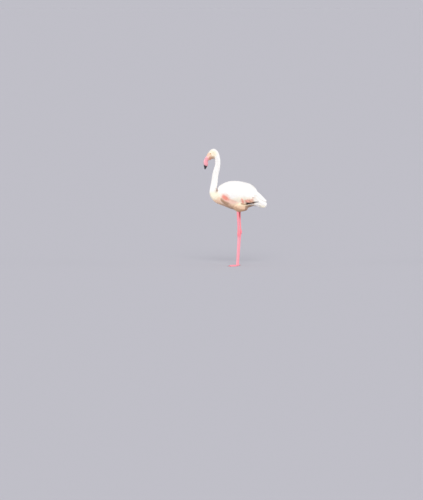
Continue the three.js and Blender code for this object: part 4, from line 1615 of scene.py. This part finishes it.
class FLAMINGO_OT_wings(bpy.types.Operator):
    """Lays the wing coverts, the flight feathers and the tail"""

    bl_idname = "flamingo.wings"
    bl_label = "Wings and tail"

    def execute(self, context):
        outline = vanes()
        coarse = feather_material("flamingo_covert", 30, 0.0002)
        flight = feather_material("flamingo_flight", 110, 0.0003)
        dark = feather_material("flamingo_dark_flight", 110, 0.0003, sheen=0.02)
        tree = outer_shell()
        dice = np.random.default_rng(WING_SEED)
        long_vane, short_vane = outline["long"], outline["contour"]
        for sign, side in SIDES:
            coverts, inner = wing_feathers(tree, sign, dice), tertial_feathers(sign, dice)
            plumage_piece(f"coverts_{side}", short_vane, coverts, coarse, 31)
            name, node = f"tertial_feathers_{side}", f"tertials_{side}"
            plumage_piece(name, long_vane, inner, flight, 37, replaced=[node])
            name, node = f"primary_feathers_{side}", f"primaries_{side}"
            outer = [primary_feathers(sign)]
            plumage_piece(name, long_vane, outer, dark, 41, "flight_feathers", [node])
        plumage_piece("ridge_feathers", long_vane, ridge_feathers(dice), flight, 43)
        plumage_piece("tail_feathers", long_vane, [tail_feathers()], flight, 47, replaced=["tail"])
        plumage_piece("tail_coverts", short_vane, [tail_coverts(dice)], coarse, 53)
        return {"FINISHED"}


class FLAMINGO_OT_stage(bpy.types.Operator):
    """Sets a plain floor, soft light and the camera"""

    bl_idname = "flamingo.stage"
    bl_label = "Stage"

    def execute(self, context):
        chosen = settings("flamingo_stage")
        scene = context.scene
        surround = np.array(chosen.surround)
        on_floor = 0.0
        for name, strength, toward in (
            ("key", chosen.key, (0.85, 0.03, 0.48)),
            ("fill_ahead", chosen.fill, (0.3, -0.93, 0.22)),
            ("fill_behind", chosen.fill, (0.25, 0.93, 0.24)),
        ):
            toward = unit(np.array(toward))
            on_floor += strength * toward[2] / math.pi
            lamp = bpy.data.lights.new(name, "SUN")
            lamp.energy = strength
            lamp.angle = math.radians(30)
            facing(linked(name, lamp), Vector(toward))

        # The floor is as light as the surround, so that no horizon shows.
        albedo = surround / (surround + on_floor)
        material, _, _ = new_material(
            "flamingo_floor", Base_Color=(*albedo, 1), Roughness=0.9, Specular_IOR_Level=0.0
        )
        mesh = bpy.data.meshes.new("floor")
        corners = [(x * FLOOR_HALF, y * FLOOR_HALF, 0) for x, y in ((-1, -1), (1, -1), (1, 1), (-1, 1))]
        mesh.from_pydata(corners, [], [(0, 1, 2, 3)])
        mesh.materials.append(material)
        floor = linked("floor", mesh)

        world = scene.world or bpy.data.worlds.new("World")
        scene.world = world
        world.use_nodes = True
        light = next(n for n in world.node_tree.nodes if n.type == "BACKGROUND")
        light.inputs["Color"].default_value = (*surround, 1)
        light.inputs["Strength"].default_value = 1.0

        camera = bpy.data.cameras.new("camera")
        camera.lens = camera.sensor_width * chosen.distance / chosen.height
        camera.clip_end = 3000
        viewer = linked("camera", camera)
        back = Vector((math.cos(CAMERA_RISE), 0, math.sin(CAMERA_RISE)))
        viewer.location = Vector(CAMERA_AIM) + back * chosen.distance
        facing(viewer, back)
        scene.camera = viewer
        scene.view_settings.view_transform = "Standard"
        return {"FINISHED"}


def facing(made, back):
    """Turns a light or a camera so that it looks along the opposite of back."""
    made.rotation_mode = "QUATERNION"
    made.rotation_quaternion = back.to_track_quat("Z", "Y")


class FLAMINGO_PT_panel(bpy.types.Panel):
    """Lists what builds the flamingo"""

    bl_idname = "FLAMINGO_PT_panel"
    bl_label = "Greater flamingo"
    bl_space_type = "VIEW_3D"
    bl_region_type = "UI"
    bl_category = "Flamingo"

    def draw(self, context):
        for operator in OPERATORS:
            self.layout.operator(operator.bl_idname)
        for name in GROUPS:
            group = getattr(context.scene, name)
            box = self.layout.box()
            for key in group.__annotations__:
                box.prop(group, key)


OPERATORS = (
    FLAMINGO_OT_skin,
    FLAMINGO_OT_bill,
    FLAMINGO_OT_eyes,
    FLAMINGO_OT_claws,
    FLAMINGO_OT_plumage,
    FLAMINGO_OT_wings,
    FLAMINGO_OT_stage,
)
GROUPS = {
    "flamingo_plumage": FlamingoPlumage,
    "flamingo_bare_parts": FlamingoBareParts,
    "flamingo_stage": FlamingoStage,
}


def register():
    for group in (*GROUPS.values(), *OPERATORS, FLAMINGO_PT_panel):
        bpy.utils.register_class(group)
    for name, group in GROUPS.items():
        setattr(bpy.types.Scene, name, PointerProperty(type=group))


def unregister():
    for name in GROUPS:
        delattr(bpy.types.Scene, name)
    for group in reversed((*GROUPS.values(), *OPERATORS, FLAMINGO_PT_panel)):
        bpy.utils.unregister_class(group)


def main():
    register()
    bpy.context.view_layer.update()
    bpy.ops.flamingo.skin()
    bpy.ops.flamingo.bill()
    bpy.ops.flamingo.eyes()
    bpy.ops.flamingo.claws()
    bpy.ops.flamingo.plumage()
    bpy.ops.flamingo.wings()
    bpy.ops.flamingo.stage()


if __name__ == "__main__":
    main()
